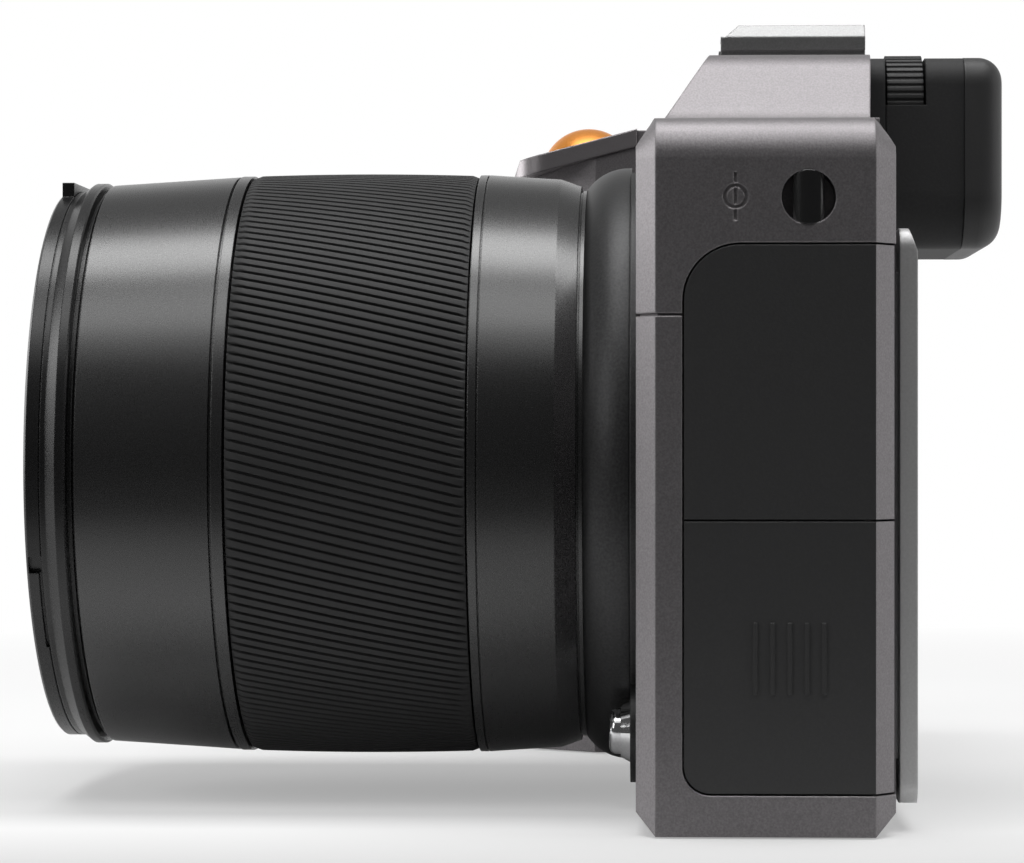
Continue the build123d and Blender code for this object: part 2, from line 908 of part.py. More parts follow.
def topCover():
    solid = outerForm() & block(
        gripX - overrun, leftX + overrun, gripFrontY - overrun, rearY + overrun, seamZ, humpTopZ
    )
    solid -= cavity(seamZ - overrun, roofInnerZ) & block(
        cavityX0, cavityX1, cavityY0, roofInnerRearY, 0, roofInnerZ
    )
    solid -= block(
        -contactRoomHalfX, contactRoomHalfX, cavityY0, contactRoomRearY, roofInnerZ - overrun, contactRoomZ
    )
    solid -= frontHoles()
    solid -= batteryPocket()
    solid -= gripRoom()
    solid -= doorPocket("connector_door")
    solid -= bayHole("connector_door")
    solid -= strapCup(leftX, 1)
    solid -= strapCup(gripX, -1)
    solid -= gripSkinForm()
    solid -= filmPlaneMark()
    solid -= seamGroove()
    solid -= wheelRoom(frontWheelX, frontWheelY, frontWheelZ, frontWheelR, frontWheelHalf)
    solid -= block(
        frontWheelX - frontWheelR, frontWheelX + frontWheelR, gripFrontY - overrun, frontWheelY,
        frontWheelZ - frontWheelHalf - gap, frontWheelZ + frontWheelHalf + gap,
    )
    shaftZ = frontWheelHalf + wheelShaftLong + gap
    solid -= rodZ(
        wheelShaftR + runFit, frontWheelZ - shaftZ, frontWheelZ + shaftZ, frontWheelX, frontWheelY
    )
    solid -= wheelRoom(rearWheelX, rearWheelY, rearWheelZ, rearWheelR, rearWheelHalf)
    shaftZ = rearWheelHalf + wheelShaftLong + gap
    solid -= rodZ(wheelShaftR + runFit, rearWheelZ - shaftZ, rearWheelZ + shaftZ, rearWheelX, rearWheelY)
    dialFloor = deckZ + modeDialProud - modeDialHigh
    solid -= rodZ(modeDialR + gap, dialFloor - gap, deckZ + overrun, modeDialX, modeDialY)
    solid -= rodZ(modeStemR + runFit, dialFloor - modeStemLong, deckZ, modeDialX, modeDialY)
    for x, y in topKeyPlaces().values():
        floor = deckZ + topKeyProud - topKeyLong - topKeyStroke
        solid -= rodZ(topKeyR + runFit, floor, deckZ + overrun, x, y)
    for x in thumbKeyPlaces().values():
        floor = rearY + thumbKeyProud - thumbKeyLong - rearKeyStroke
        solid -= rodY(thumbKeyR + runFit, floor, rearY + overrun, x, thumbKeyZ)
    solid -= shutterRod(shutterR - topKeyProud, plateThick, plateThick + shutterWell)
    return solid


def filmPlaneMark():
    disc = rodX(markR, leftX - markDeep, leftX + overrun, 0, markZ)
    disc -= rodX(markR - markWide, leftX - markDeep - overrun, leftX + overrun, 0, markZ)
    half = markWide / 2
    bar = block(leftX - markDeep, leftX + overrun, -half, half, markZ - markBarHalf, markZ + markBarHalf)
    bar -= rodX(markR + markBreak, leftX - markDeep - overrun, leftX + overrun + overrun, 0, markZ)
    inner = markR - markWide - markBreak
    return disc + bar + block(leftX - markDeep, leftX + overrun, -half, half, markZ - inner, markZ + inner)


def shutterSeat():
    # point of the shutter button's axis on the face of the tilted plate
    return Vector(shutterX, shutterY, plateTopZ(shutterY))


def shutterRod(r, depth0, depth1):
    # cylinder on the shutter button's axis, depths counted down from the plate's face
    mid = shutterSeat() - tiltAxis * ((depth0 + depth1) / 2)
    return Pos(mid.X, mid.Y, mid.Z) * Rot(plateTilt, 0, 0) * Cylinder(r, abs(depth1 - depth0))


def gripTopPlate():
    noseY = plateFrontY - plateNose
    points = [
        (plateRearY, plateRearZ),
        (plateRearY, plateRearZ - plateDrop),
        (noseY, plateTopZ(noseY) - plateDrop),
        (plateFrontY, plateTopZ(plateFrontY)),
    ]
    solid = profileX(points, plateOuterX, plateInnerX, [])
    ends = Face(Wire.make_polygon([
        Vector(plateOuterX, plateRearY + overrun, 0),
        Vector(plateOuterX, noseY, 0),
        Vector(plateInnerX, noseY, 0),
        Vector(plateInnerX, plateRearY + overrun, 0),
    ]))
    corners = ends.vertices().sort_by(Axis.Y)[0:2]
    ends = ends.fillet_2d(plateCornerR, corners)
    solid = solid & extrude(ends, humpTopZ + overrun, dir=(0, 0, 1))
    return solid - shutterRod(shutterR + runFit, -overrun, plateThick + overrun)


def shutterButton():
    # domed cap, skirt and foot, turned about the button's own axis
    seat = shutterSeat()
    footR = shutterR - topKeyProud - runFit
    footZ = shutterStroke + gap - plateThick - shutterWell
    ball = (shutterR * shutterR + shutterDome * shutterDome) / (2 * shutterDome)
    half = math.asin(shutterR / ball) / 2
    domeMiddle = (ball * math.sin(half), 0, shutterDome - ball + ball * math.cos(half))
    dome = ThreePointArc((0, 0, shutterDome), domeMiddle, (shutterR, 0, 0))
    sides = Polyline(
        (shutterR, 0, 0),
        (shutterR, 0, -shutterSkirt),
        (footR, 0, -shutterSkirt),
        (footR, 0, footZ),
        (0, 0, footZ),
        (0, 0, shutterDome),
    )
    section = Face(Wire([dome] + list(sides.edges())))
    return Pos(seat.X, seat.Y, seat.Z) * Rot(plateTilt, 0, 0) * revolve(section, Axis.Z)


def mountPlate():
    disc = rodY(mountPlateR, frontY - mountPlateThick, frontY, 0, lensZ)
    lobe = rodY(mountPlateLobeR, frontY - mountPlateThick, frontY, mountPlateLobeX, mountPlateLobeZ)
    solid = disc + lobe
    solid &= block(-mountPlateR, mountPlateR, frontY - overrun, frontY, baseEdgeZ, slopeFootZ)
    solid -= rodY(collarFrontR - bodyWall, frontY - overrun, frontY + overrun, 0, lensZ)
    x, z = onMount(lockPinPitchR, lockAngle())
    solid -= rodY(lockPinR + gap, frontY - overrun, frontY + overrun, x, z)
    return solid - rodY(bezelR - gap, frontY - overrun, frontY + overrun, releaseX, releaseZ)


def mountCollar():
    back = frontY - mountPlateThick
    front = flangeY - collarLip
    crown = ThreePointArc((collarFrontR, front, 0), (collarMidR, collarMidY, 0), (collarRearR, back, 0))
    inside = Polyline((collarRearR, back, 0), (collarFrontR, back, 0), (collarFrontR, front, 0))
    section = Face(Wire([crown] + list(inside.edges())))
    solid = Pos(0, 0, lensZ) * Rot(0, 90, 0) * revolve(section, Axis.Y)
    solid -= rodY(bezelR + gap, flangeY - overrun, frontY, releaseX, releaseZ)
    return solid


def screwAngles():
    return [i * 360 / mountScrewCount + mountScrewTurn for i in range(mountScrewCount)]


def onMount(radius, degrees):
    turn = math.radians(degrees)
    return radius * math.cos(turn), lensZ + radius * math.sin(turn)


def lockAngle():
    return math.degrees(math.atan2(releaseZ - lensZ, releaseX))


def mountRing():
    front = frontY - mountPlateThick
    solid = ring(throatR, collarFrontR, flangeY, front)
    solid += ring(throatR, collarFrontR - bodyWall - runFit, front, frontY + bodyWall / 2)
    for i in range(lugCount):
        solid += sector(
            lugInnerR, throatR + lugThick / 2, flangeY, flangeY + lugThick, i * 360 / lugCount + lugTurn,
            lugArc
        )
    for angle in screwAngles():
        x, z = onMount(mountScrewPitchR, angle)
        solid -= rodY(mountScrewR, flangeY - overrun, flangeY + mountScrewLong, x, z)
        solid -= rodY(mountScrewHeadR, flangeY - overrun, flangeY + mountScrewHead, x, z)
    x, z = onMount(lockPinPitchR, lockAngle())
    return solid - rodY(lockPinR + runFit, flangeY - overrun, frontY + overrun, x, z)


def mountScrews():
    result = []
    for angle in screwAngles():
        x, z = onMount(mountScrewPitchR, angle)
        head = rodY(mountScrewHeadR, flangeY + runFit, flangeY + mountScrewHead, x, z)
        head -= Pos(x, flangeY, z) * Box(mountScrewHeadR, mountScrewHead, mountScrewR / 2)
        result.append(head + rodY(mountScrewR, flangeY + mountScrewHead, flangeY + mountScrewLong, x, z))
    return result


def releaseBezel():
    plateY = frontY - mountPlateThick
    high = plateY - bezelFrontY
    cone = Rot(90, 0, 0) * Cone(bezelR, releaseR + bezelLip, high)
    solid = Pos(releaseX, plateY - high / 2, releaseZ) * cone + rodY(
        bezelR, plateY, frontY, releaseX, releaseZ
    )
    solid -= ring(throatR, collarRearR, flangeY, frontY - mountPlateThick)
    narrow = rodY(bezelR - gap, frontY - mountPlateThick, frontY, releaseX, releaseZ)
    wide = solid & block(0, leftX, bezelFrontY, frontY - mountPlateThick, -overrun, lensZ)
    solid = wide + narrow
    return solid - rodY(releaseR + runFit, bezelFrontY - overrun, frontY + overrun, releaseX, releaseZ)


def releaseButton():
    solid = rodY(releaseR, releaseFrontY, linkY, releaseX, releaseZ)
    front = solid.edges().filter_by(GeomType.CIRCLE).sort_by(Axis.Y)[0]
    return fillet(front, releaseDome)


def lockPin():
    x, z = onMount(lockPinPitchR, lockAngle())
    solid = rodY(lockPinR, flangeY - lockPinProud, linkY + linkThick, x, z)
    arm = rodY(linkR, linkY, linkY + linkThick, releaseX, releaseZ)
    eye = rodY(linkR / 2, linkY, linkY + linkThick, x, z)
    dx = releaseX - x
    dz = releaseZ - z
    run = math.hypot(dx, dz)
    web = Pos((releaseX + x) / 2, linkY + linkThick / 2, (releaseZ + z) / 2)
    web = web * Rot(0, -math.degrees(math.atan2(dz, dx)), 0) * Box(run, linkThick, linkR)
    return solid + arm + eye + web


def contactPins(y0, y1):
    result = []
    for i in range(contactPinCount):
        angle = contactBarTurn + contactBarArc * ((i + 0.5) / contactPinCount - 0.5)
        x, z = onMount(contactPinPitchR, angle)
        result.append(rodY(contactPinR, y0, y1, x, z))
    return result


def sensorFrame():
    solid = block(-frameHalfX, frameHalfX, frameFrontY, frameRearY, lensZ - frameHalfZ, lensZ + frameHalfZ)
    halfX = sensorHalfX + packageMargin
    halfZ = sensorHalfZ + packageMargin
    solid -= block(-halfX, halfX, -sensorThick, frameRearY + overrun, lensZ - halfZ, lensZ + halfZ)
    windowX = sensorHalfX + gap
    windowZ = sensorHalfZ + gap
    return solid - block(-windowX, windowX, frameFrontY - overrun, 0, lensZ - windowZ, lensZ + windowZ)


def imageSensor():
    halfX = sensorHalfX + packageMargin
    halfZ = sensorHalfZ + packageMargin
    solid = block(-halfX, halfX, 0, frameRearY, lensZ - halfZ, lensZ + halfZ)
    return solid + block(
        -sensorHalfX, sensorHalfX, -sensorThick, 0, lensZ - sensorHalfZ, lensZ + sensorHalfZ
    )


def sensorGlass():
    y1 = coverGlassY + coverGlassThick
    halfX = sensorHalfX + gap
    halfZ = sensorHalfZ + gap
    return block(-halfX, halfX, coverGlassY, y1, lensZ - halfZ, lensZ + halfZ)


def mainBoard():
    solid = block(boardX0, boardX1, boardY, boardY + boardThick, boardZ0, boardZ1)
    for x in (boardX0 + packageMargin, boardX1 - packageMargin):
        for z in (boardZ0 + packageMargin, boardZ1 - packageMargin):
            solid += rodY(mountScrewHeadR, boardY + boardThick, cavityY1, x, z)
            solid += rodY(
                mountScrewHeadR, frameRearY, boardY,
                max(-frameHalfX + packageMargin, min(frameHalfX - packageMargin, x)), z
            )
    return solid


def displayFrame():
    midX = (displayX0 + displayX1) / 2
    midZ = (displayZ0 + displayZ1) / 2
    halfX = (displayX1 - displayX0) / 2
    halfZ = (displayZ1 - displayZ0) / 2
    solid = roundedY(halfX, halfZ, displayCornerR, displayY0, displayY1, midX, midZ)
    edge = [
        (displayY1 - displayEdgeY, displayZ1 + overrun),
        (displayY1 - displayEdgeY, displayZ1),
        (displayY1, displayZ1 - displayEdgeZ),
        (displayY1 + overrun, displayZ1 - displayEdgeZ),
        (displayY1 + overrun, displayZ1 + overrun),
    ]
    solid -= profileX(edge, displayX0 - overrun, displayX1 + overrun, [])
    solid -= roundedY(
        halfX - displayRim, halfZ - displayRim, displayCornerR / 2, displayY1 - displayGlassThick,
        displayY1 + overrun, midX, midZ
    )
    return solid + block(
        midX - displayFootX / 2, midX + displayFootX / 2, rearY, displayY0, midZ - displayFootZ / 2,
        midZ + displayFootZ / 2
    )


def displayGlass():
    midX = (displayX0 + displayX1) / 2
    midZ = (displayZ0 + displayZ1) / 2
    halfX = (displayX1 - displayX0) / 2 - displayRim
    halfZ = (displayZ1 - displayZ0) / 2 - displayRim
    return roundedY(halfX, halfZ, displayCornerR / 2, displayY1 - displayGlassThick, displayY1, midX, midZ)


def evfBlock(halfX, y0, y1):
    # the viewfinder's outside, rounder at its lower corners
    lower = [(-halfX, evfZ0), (halfX, evfZ0)]
    upper = [(halfX, evfZ1), (-halfX, evfZ1)]
    rounds = [(corner, evfBottomR) for corner in lower] + [(corner, evfCornerR) for corner in upper]
    return profileY(lower + upper, y0, y1, rounds)


def evfHousing():
    midZ = (evfZ0 + evfZ1) / 2
    halfZ = (evfZ1 - evfZ0) / 2
    solid = evfBlock(evfHalfX, evfY0 - overrun, evfY1)
    seamY = diopterY0 - gap
    core = roundedY(
        evfHalfX - evfSeamDeep, halfZ - evfSeamDeep, evfCornerR, seamY, seamY + evfSeamWide, 0, midZ
    )
    solid -= evfBlock(evfHalfX, seamY, seamY + evfSeamWide) - core
    front = [
        (evfY0 - overrun - overrun, evfZ1 + overrun),
        (rearSlopeY, evfZ1 + overrun),
        (rearSlopeY, humpTopZ),
        (rearTopEdgeY, rearSlopeZ),
        (rearY, rearTopEdgeZ),
        (rearY, evfZ0 - overrun),
        (evfY0 - overrun - overrun, evfZ0 - overrun),
    ]
    solid -= profileX(front, -evfHalfX - overrun, evfHalfX + overrun, [])
    solid -= block(
        -evfHalfX - overrun, evfHalfX + overrun, 0, displayY1 + gap, evfZ0 - overrun, displayZ1 + gap
    )
    solid -= roundedY(
        eyepieceHalfX, eyepieceHalfZ, evfCornerR, evfY0 + evfWall + evfWall, evfY1 + overrun, 0, midZ
    )
    rimZ = diopterR + gap
    solid -= block(
        diopterX - rimZ, evfHalfX + overrun, diopterY0 - gap, diopterY1 + gap, diopterZ, evfZ1 + overrun
    ) & rodY(
        diopterR + evfWall, diopterY0 - gap, diopterY1 + gap, diopterX, diopterZ
    )
    solid -= block(
        diopterX - diopterR - gap, evfHalfX + overrun, diopterY0 - gap, diopterY1 + gap,
        diopterShowZ, evfZ1 + overrun,
    ) & rodY(diopterR + evfWall, diopterY0 - gap, diopterY1 + gap, diopterX, diopterZ)
    solid -= rodY(diopterR + gap, diopterY0 - gap, diopterY1 + gap, diopterX, diopterZ)
    shaftLong = diopterShaftLong + gap
    solid -= rodY(diopterShaftR + runFit, diopterY0 - shaftLong, diopterY1 + shaftLong, diopterX, diopterZ)
    return solid


def diopterWheel():
    solid = rodY(diopterR, diopterY0, diopterY1, diopterX, diopterZ)
    for i in range(diopterRibs):
        turn = math.radians(i * 360 / diopterRibs)
        x = diopterX + diopterR * math.cos(turn)
        z = diopterZ + diopterR * math.sin(turn)
        solid -= rodY(diopterRibR, diopterY0 - overrun, diopterY1 + overrun, x, z)
    return solid + rodY(
        diopterShaftR, diopterY0 - diopterShaftLong, diopterY1 + diopterShaftLong, diopterX, diopterZ
    )


def eyecup():
    midZ = (evfZ0 + evfZ1) / 2
    solid = evfBlock(eyecupHalfX, evfY1, eyecupY1)
    rear = solid.faces().sort_by(Axis.Y)[-1]
    solid = fillet(rear.edges(), eyecupLip)
    return solid - roundedY(
        eyecupOpenHalfX, eyecupOpenHalfZ, eyecupCornerR, evfY1 - overrun, eyecupY1 + overrun, 0, midZ
    )


def eyepieceLens():
    midZ = (evfZ0 + evfZ1) / 2
    return roundedY(
        eyepieceHalfX, eyepieceHalfZ, evfCornerR, eyepieceY, eyepieceY + eyepieceThick - gap, 0, midZ
    )


def evfDisplay():
    midZ = (evfZ0 + evfZ1) / 2
    y0 = evfY0 + evfWall + evfWall
    return block(-panelHalfX, panelHalfX, y0, y0 + panelThick, midZ - panelHalfZ, midZ + panelHalfZ)


def hotShoe():
    half = shoeHalfX
    neck = half - shoeNeckIn
    floor = humpTopZ + shoeFloor
    right = [
        (0, humpTopZ),
        (neck, humpTopZ),
        (neck, shoeNeckZ),
        (half, shoeNeckZ),
        (half, shoeWallZ),
        (half - shoeLipChamfer, shoeLipZ),
        (half - shoeWall - shoeLip, shoeLipZ),
        (half - shoeWall - shoeLip, shoeLipUnderZ),
        (half - shoeWall, shoeLipUnderZ),
        (half - shoeWall, floor),
        (0, floor),
    ]
    left = [(-x, z) for x, z in reversed(right[1:-1])]
    solid = profileY(right + left, shoeY0, shoeY1, [])
    mitre = [
        (shoeY0 - overrun, shoeWallZ),
        (shoeY0 + shoeLipChamfer / 2, shoeWallZ),
        (shoeY0 + shoeLipChamfer * 2, shoeLipZ + runFit),
        (shoeY0 - overrun, shoeLipZ + runFit),
    ]
    solid -= profileX(mitre, -half - overrun, half + overrun, [])
    stopY = shoeY0 + shoeLipChamfer * 2
    stop = block(-half + shoeWall, half - shoeWall, stopY - shoeStop, stopY, floor, shoeLipUnderZ)
    return solid + stop


def shoeContacts():
    floor = humpTopZ + shoeFloor
    pad = block(-shoePadX, shoePadX, shoePadY0, shoePadRearY, floor, floor + shoePadThick)
    midY = (shoePadY0 + shoePadRearY) / 2
    top = floor + shoePadThick
    places = [(0, midY), (-shoeContactPitch, midY), (shoeContactPitch, midY)]
    places += [(-shoeContactPitch, midY + shoeContactPitch), (shoeContactPitch, midY + shoeContactPitch)]
    for x, y in places:
        pad += rodZ(shoeContactR, top - shoeContactRise, top + shoeContactRise, x, y)
    return pad


def connectorBlock():
    z0, z1, cornerAtTop, radius = doors["connector_door"]
    midY = (doorFrontY + doorSeam + rearY - rearEdgeY - doorThick) / 2
    x1 = cavityX1
    solid = block(
        x1 - blockDeep, x1, midY - blockHalfY - jackR, midY + blockHalfY + jackR, z0 + gap, z1 - gap
    )
    for side in (-1, 1):
        solid -= rodX(jackR, x1 - jackDeep, x1 + overrun, midY + side * jackHalfPitch, jackZ)
    solid -= block(
        x1 - jackDeep, x1 + overrun, midY - usbHalfY, midY + usbHalfY, usbZ - usbHalfZ, usbZ + usbHalfZ
    )
    return solid - block(
        x1 - jackDeep, x1 + overrun, midY - videoHalfY, midY + videoHalfY, videoZ - videoHalfZ,
        videoZ + videoHalfZ
    )


def cardSlotBlock():
    z0, z1, cornerAtTop, radius = doors["card_door"]
    midY = (doorFrontY + doorSeam + rearY - rearEdgeY - doorThick) / 2
    midZ = (z0 + z1) / 2
    x1 = cavityX1
    x0 = frameHalfX + gap
    solid = block(x0, x1, midY - blockHalfY, boardY - gap, z0 + gap, z1 - gap)
    for side in (-1, 1):
        y = midY + side * cardSlotPitch / 2 - cardSlotHalfY
        solid -= block(
            x0 + bodyWall, x1 + overrun, y - cardSlotHalfY, y + cardSlotHalfY, midZ - cardSlotHalfZ,
            midZ + cardSlotHalfZ
        )
    return solid


def strapBar(sideX, sign):
    x1 = sideX + sign * strapBarProud
    x0 = x1 - sign * strapBarThick
    bar = block(x0, x1, strapY - strapBarHalf, strapY + strapBarHalf, strapZ - strapR, strapZ + strapR)
    bar = bar & rodX(strapR, x0 - sign * overrun, x1 + sign * overrun, strapY, strapZ)
    return bar & rodZ(strapBarR, strapZ - strapR, strapZ + strapR, x1 - sign * strapBarR, strapY)


def doorPins():
    result = []
    for name in doors:
        places = earPlaces(name)
        result.append(rodZ(doorPinR, places[0][0], places[-1][1], doorAxis.X, doorAxis.Y))
    return result


def tripodBush():
    solid = rodZ(tripodOuterR, 0, tripodDeep, 0, 0) + rodZ(
        tripodFlangeR, baseFloor, baseFloor + tripodFlange, 0, 0
    )
    return solid - rodZ(tripodR, -overrun, tripodDeep + overrun, 0, 0)


def battery():
    midX = (batteryX0 + batteryX1) / 2
    midY = (batteryY0 + batteryY1) / 2
    halfX = (batteryX1 - batteryX0) / 2
    halfY = (batteryY1 - batteryY0) / 2
    return roundedZ(
        halfX, halfY, batteryCornerR, batteryBaseZ, batteryTopZ - gap - contactSpringRise, midX, midY
    )


def batteryContacts():
    midX = (batteryX0 + batteryX1) / 2
    midY = (batteryY0 + batteryY1) / 2
    halfX = (batteryX1 - batteryX0) / 2 - batteryFootMargin
    halfY = (batteryY1 - batteryY0) / 2 - batteryFootMargin
    solid = block(
        midX - halfX, midX + halfX, midY - halfY, midY + halfY, batteryTopZ, batteryTopZ + contactBlockThick
    )
    for i in range(contactSpringCount):
        x = midX + (i - (contactSpringCount - 1) / 2) * contactSpringPitch
        solid += block(
            x - contactSpringHalf, x + contactSpringHalf, midY - contactSpringPitch, midY + contactSpringPitch,
            batteryTopZ - contactSpringRise, batteryTopZ,
        )
    return solid


def batteryLatch():
    solid = rodZ(latchPivotR, batteryBaseZ, latchPocketZ + latchThick, latchX, latchY)
    top = latchPocketZ - gap
    bar = block(
        latchX, latchX + latchLong - latchHalf, latchY - latchHalf, latchY + latchHalf, top - latchThick,
        top
    )
    tip = rodZ(latchHalf, top - latchThick, top, latchX + latchLong - latchHalf, latchY)
    hub = rodZ(latchHalf, top - latchThick, top, latchX, latchY)
    return solid + bar + tip + hub


def keyAt(z):
    return roundedY(keyHalfX, keyHalfZ, keyCornerR, keyFloorY, rearY + keyProud, keyX, z)


def thumbKey(x):
    return rodY(thumbKeyR, rearY + thumbKeyProud - thumbKeyLong, rearY + thumbKeyProud, x, thumbKeyZ)


def topKey(x, y):
    top = deckZ + topKeyProud
    return rodZ(topKeyR, top - topKeyLong, top, x, y)


def wheel(x, y, z, r, half, notches, notchR):
    solid = rodZ(r, z - half, z + half, x, y)
    for i in range(notches):
        turn = math.radians(i * 360 / notches)
        solid -= rodZ(
            notchR, z - half - overrun, z + half + overrun, x + r * math.cos(turn), y + r * math.sin(turn)
        )
    reach = half + wheelShaftLong
    return solid + rodZ(wheelShaftR, z - reach, z + reach, x, y)


def modeStem():
    dialFloor = deckZ + modeDialProud - modeDialHigh
    solid = rodZ(modeStemR, dialFloor - modeStemLong + gap, dialFloor - runFit, modeDialX, modeDialY)
    return solid + rodZ(
        wheelShaftR, dialFloor - runFit, deckZ + modeDialProud - wheelShaftR, modeDialX, modeDialY
    )


def modeDial():
    top = deckZ + modeDialProud
    solid = rodZ(modeDialR, top - modeDialHigh, top, modeDialX, modeDialY)
    for i in range(modeNotches):
        turn = math.radians(i * 360 / modeNotches)
        x = modeDialX + modeDialR * math.cos(turn)
        y = modeDialY + modeDialR * math.sin(turn)
        solid -= rodZ(modeNotchR, top - modeDialHigh - overrun, top + overrun, x, y)
    return solid - rodZ(
        wheelShaftR + runFit, top - modeDialHigh - overrun, top - wheelShaftR + runFit, modeDialX, modeDialY
    )


def lensFrontRing():
    threadBackY = rimY + filterDeep
    root = rimR - grooveDeep
    seamR = rimR - rimSeamDeep
    ridgeR = frontBarrelR - rimRidgeDown
    points = [
        (rimInnerR, rimY),
        (rimR - rimChamfer, rimY),
        (rimR, rimY + rimChamfer),
        (rimR, rimSeamY),
        (seamR, rimSeamY),
        (seamR, rimSeamY + rimSeamWide),
        (rimR, rimSeamY + rimSeamWide),
        (rimR, rimBevelY),
        (rimShoulderR, rimShoulderY),
        (rimShoulderR, rimBackY - rimBackChamfer),
        (rimShoulderR - rimBackChamfer, rimBackY),
        (root, rimBackY),
        (root, rimRidgeY),
        (ridgeR, rimRidgeY),
        (ridgeR, rimRidgeY + rimRidgeWide),
        (root, rimRidgeY + rimRidgeWide),
        (root, frontBarrelY),
        (coneFrontR + tubeWall, frontBarrelY),
        (coneBackR + tubeWall, coneBackY),
        (coneBackR, coneBackY),
        (coneFrontR, threadBackY),
        (rimInnerR, threadBackY),
    ]
    solid = turned(points)
    slotY = rimY + rimChamfer
    inner = rimR - hoodSlotDeep
    trackR = rimR - hoodTrackDeep
    for angle in hoodSlotTurns:
        solid -= sector(inner, rimR + overrun, slotY, rimSeamY, angle, hoodSlotArc)
        mid = angle - (hoodSlotArc + hoodTrackArc) / 2
        solid -= sector(trackR, rimR + overrun, rimSeamY - hoodTrackWide, rimSeamY, mid, hoodTrackArc)
    top = lensZ + rimR
    solid += block(
        -hoodBumpHalf, hoodBumpHalf, slotY, rimSeamY, top - hoodBumpHalf, top + hoodBumpHigh
    ) - rodY(
        rimInnerR + rimChamfer, rimY, rimBackY, 0, lensZ
    )
    return solid


def lensBarrel():
    seatR = focusBoreR - runFit
    points = [
        (coneFrontR + tubeWall + gap, frontBarrelY),
        (frontBarrelR, frontBarrelY),
        (frontBarrelBackR, frontBarrelBackY),
        (frontGapR, frontBarrelBackY),
        (frontGapR, bandFrontY),
        (bandR, bandFrontY),
        (bandR, bandBackY),
        (seatR, bandBackY),
        (seatR, rearBandY),
        (innerR, rearBandY),
        (innerR, frontGlassY),
        (coneFrontR + tubeWall + gap, frontGlassY - tubeWall),
    ]
    return turned(points) + ring(frontGlassR, innerR, frontGlassY, frontGlassY + frontGlassThick)


def lensRearBarrel():
    inner = innerR - tubeWall
    points = [
        (innerR, rearBandY),
        (rearBarrelR, rearBandY),
        (rearBarrelR, rearBandBackY),
        (rearBarrelR - grooveDeep, rearBandBackY),
        (rearBarrelR - grooveDeep, rearBarrelY),
        (rearBarrelR, rearBarrelY),
        (rearBarrelBendR, rearBarrelBendY),
        (taperEndR, taperEndY),
        (inner, taperEndY),
        (inner, rearBandY + tubeWall),
        (innerR, rearBandY + tubeWall),
    ]
    solid = turned(points) + ring(rearGlassR, innerR, rearGlassY, rearGlassY + tubeWall)
    stepY = taperEndY + skirtStep
    solid += ring(bayonetFlangeR, rearGrooveR - skirtStep, taperEndY, stepY)
    return solid + ring(bayonetFlangeR, rearGrooveR, stepY, flangeY - runFit)


def lensBayonet():
    back = flangeY - runFit
    solid = ring(bayonetTubeInR, bayonetFlangeR, taperEndY, back)
    solid += ring(bayonetTubeInR, bayonetTubeR, back, bayonetRearY)
    lugFront = flangeY + lugThick + gap
    for i in range(lugCount):
        solid += sector(
            bayonetTubeR - tubeWall / 2, bayonetLugR, lugFront, lugFront + bayonetLugThick,
            i * 360 / lugCount + lugTurn, lugArc
        )
    slotHalf = lockPinR + gap
    slotY = flangeY - lockPinProud - gap
    mid = lockAngle() - lensTwist / 2
    return solid - sector(
        lockPinPitchR - slotHalf, lockPinPitchR + slotHalf, slotY, back + overrun, mid, lockSlotArc
    )


def lensContacts():
    inner = bayonetTubeInR - tubeWall
    solid = sector(
        inner, bayonetTubeInR, bayonetRearY - contactBarThick, bayonetRearY, contactBarTurn, contactBarArc
    )
    pads = []
    for i in range(lensPadCount):
        angle = contactBarTurn + contactBarArc * ((i + 0.5) / lensPadCount - 0.5)
        step = contactBarArc / lensPadCount
        pads.append(sector(
            inner + lensPadThick, bayonetTubeInR - lensPadThick, bayonetRearY, bayonetRearY + runFit, angle,
            step / 2
        ))
    for pad in pads:
        solid += pad
    return solid


def bodyContacts():
    wall = cavityY0
    solid = sector(
        contactBarInnerR, collarFrontR - bodyWall - gap, contactBarY, wall, contactBarTurn, contactBarArc
    )
    solid += sector(
        contactBarInnerR, collarFrontR, wall, contactBarY + contactBarThick, contactBarTurn, contactBarArc
    )
    for pin in contactPins(bayonetRearY + gap, contactBarY + runFit):
        solid += pin
    return solid


def glassElement(radius, y0, thick, bulge):
    ball = (radius * radius + bulge * bulge) / (2 * bulge)
    solid = rodY(radius, y0 - bulge, y0 + thick, 0, lensZ)
    return solid & (Pos(0, y0 - bulge + ball, lensZ) * Sphere(ball))


def lensElements():
    front = glassElement(
        frontGlassR, frontGlassY + frontGlassSeat, frontGlassThick - frontGlassSeat, frontGlassBulge
    )
    rear = glassElement(rearGlassR, rearGlassY + rearGlassBulge, rearGlassThick, rearGlassBulge)
    return [front, rear]


def shutterUnit():
    return ring(shutterUnitBoreR, innerR, shutterUnitY, shutterUnitY + shutterUnitThick)


def rodPlaces():
    return [(rodPitchR, lensZ), (-rodPitchR, lensZ)]


def guideRods():
    return [rodY(rodR, shutterUnitY + shutterUnitThick, rearGlassY, x, z) for x, z in rodPlaces()]


def focusingGroup():
    solid = ring(carriageBoreR, carriageR, carriageY, carriageY + carriageThick)
    for x, z in rodPlaces():
        solid -= rodY(rodR + runFit, carriageY - overrun, carriageY + carriageThick + overrun, x, z)
    glass = glassElement(carriageBoreR, carriageY + carriageThick / 2, carriageThick / 4, carriageThick / 4)
    return [solid, glass]


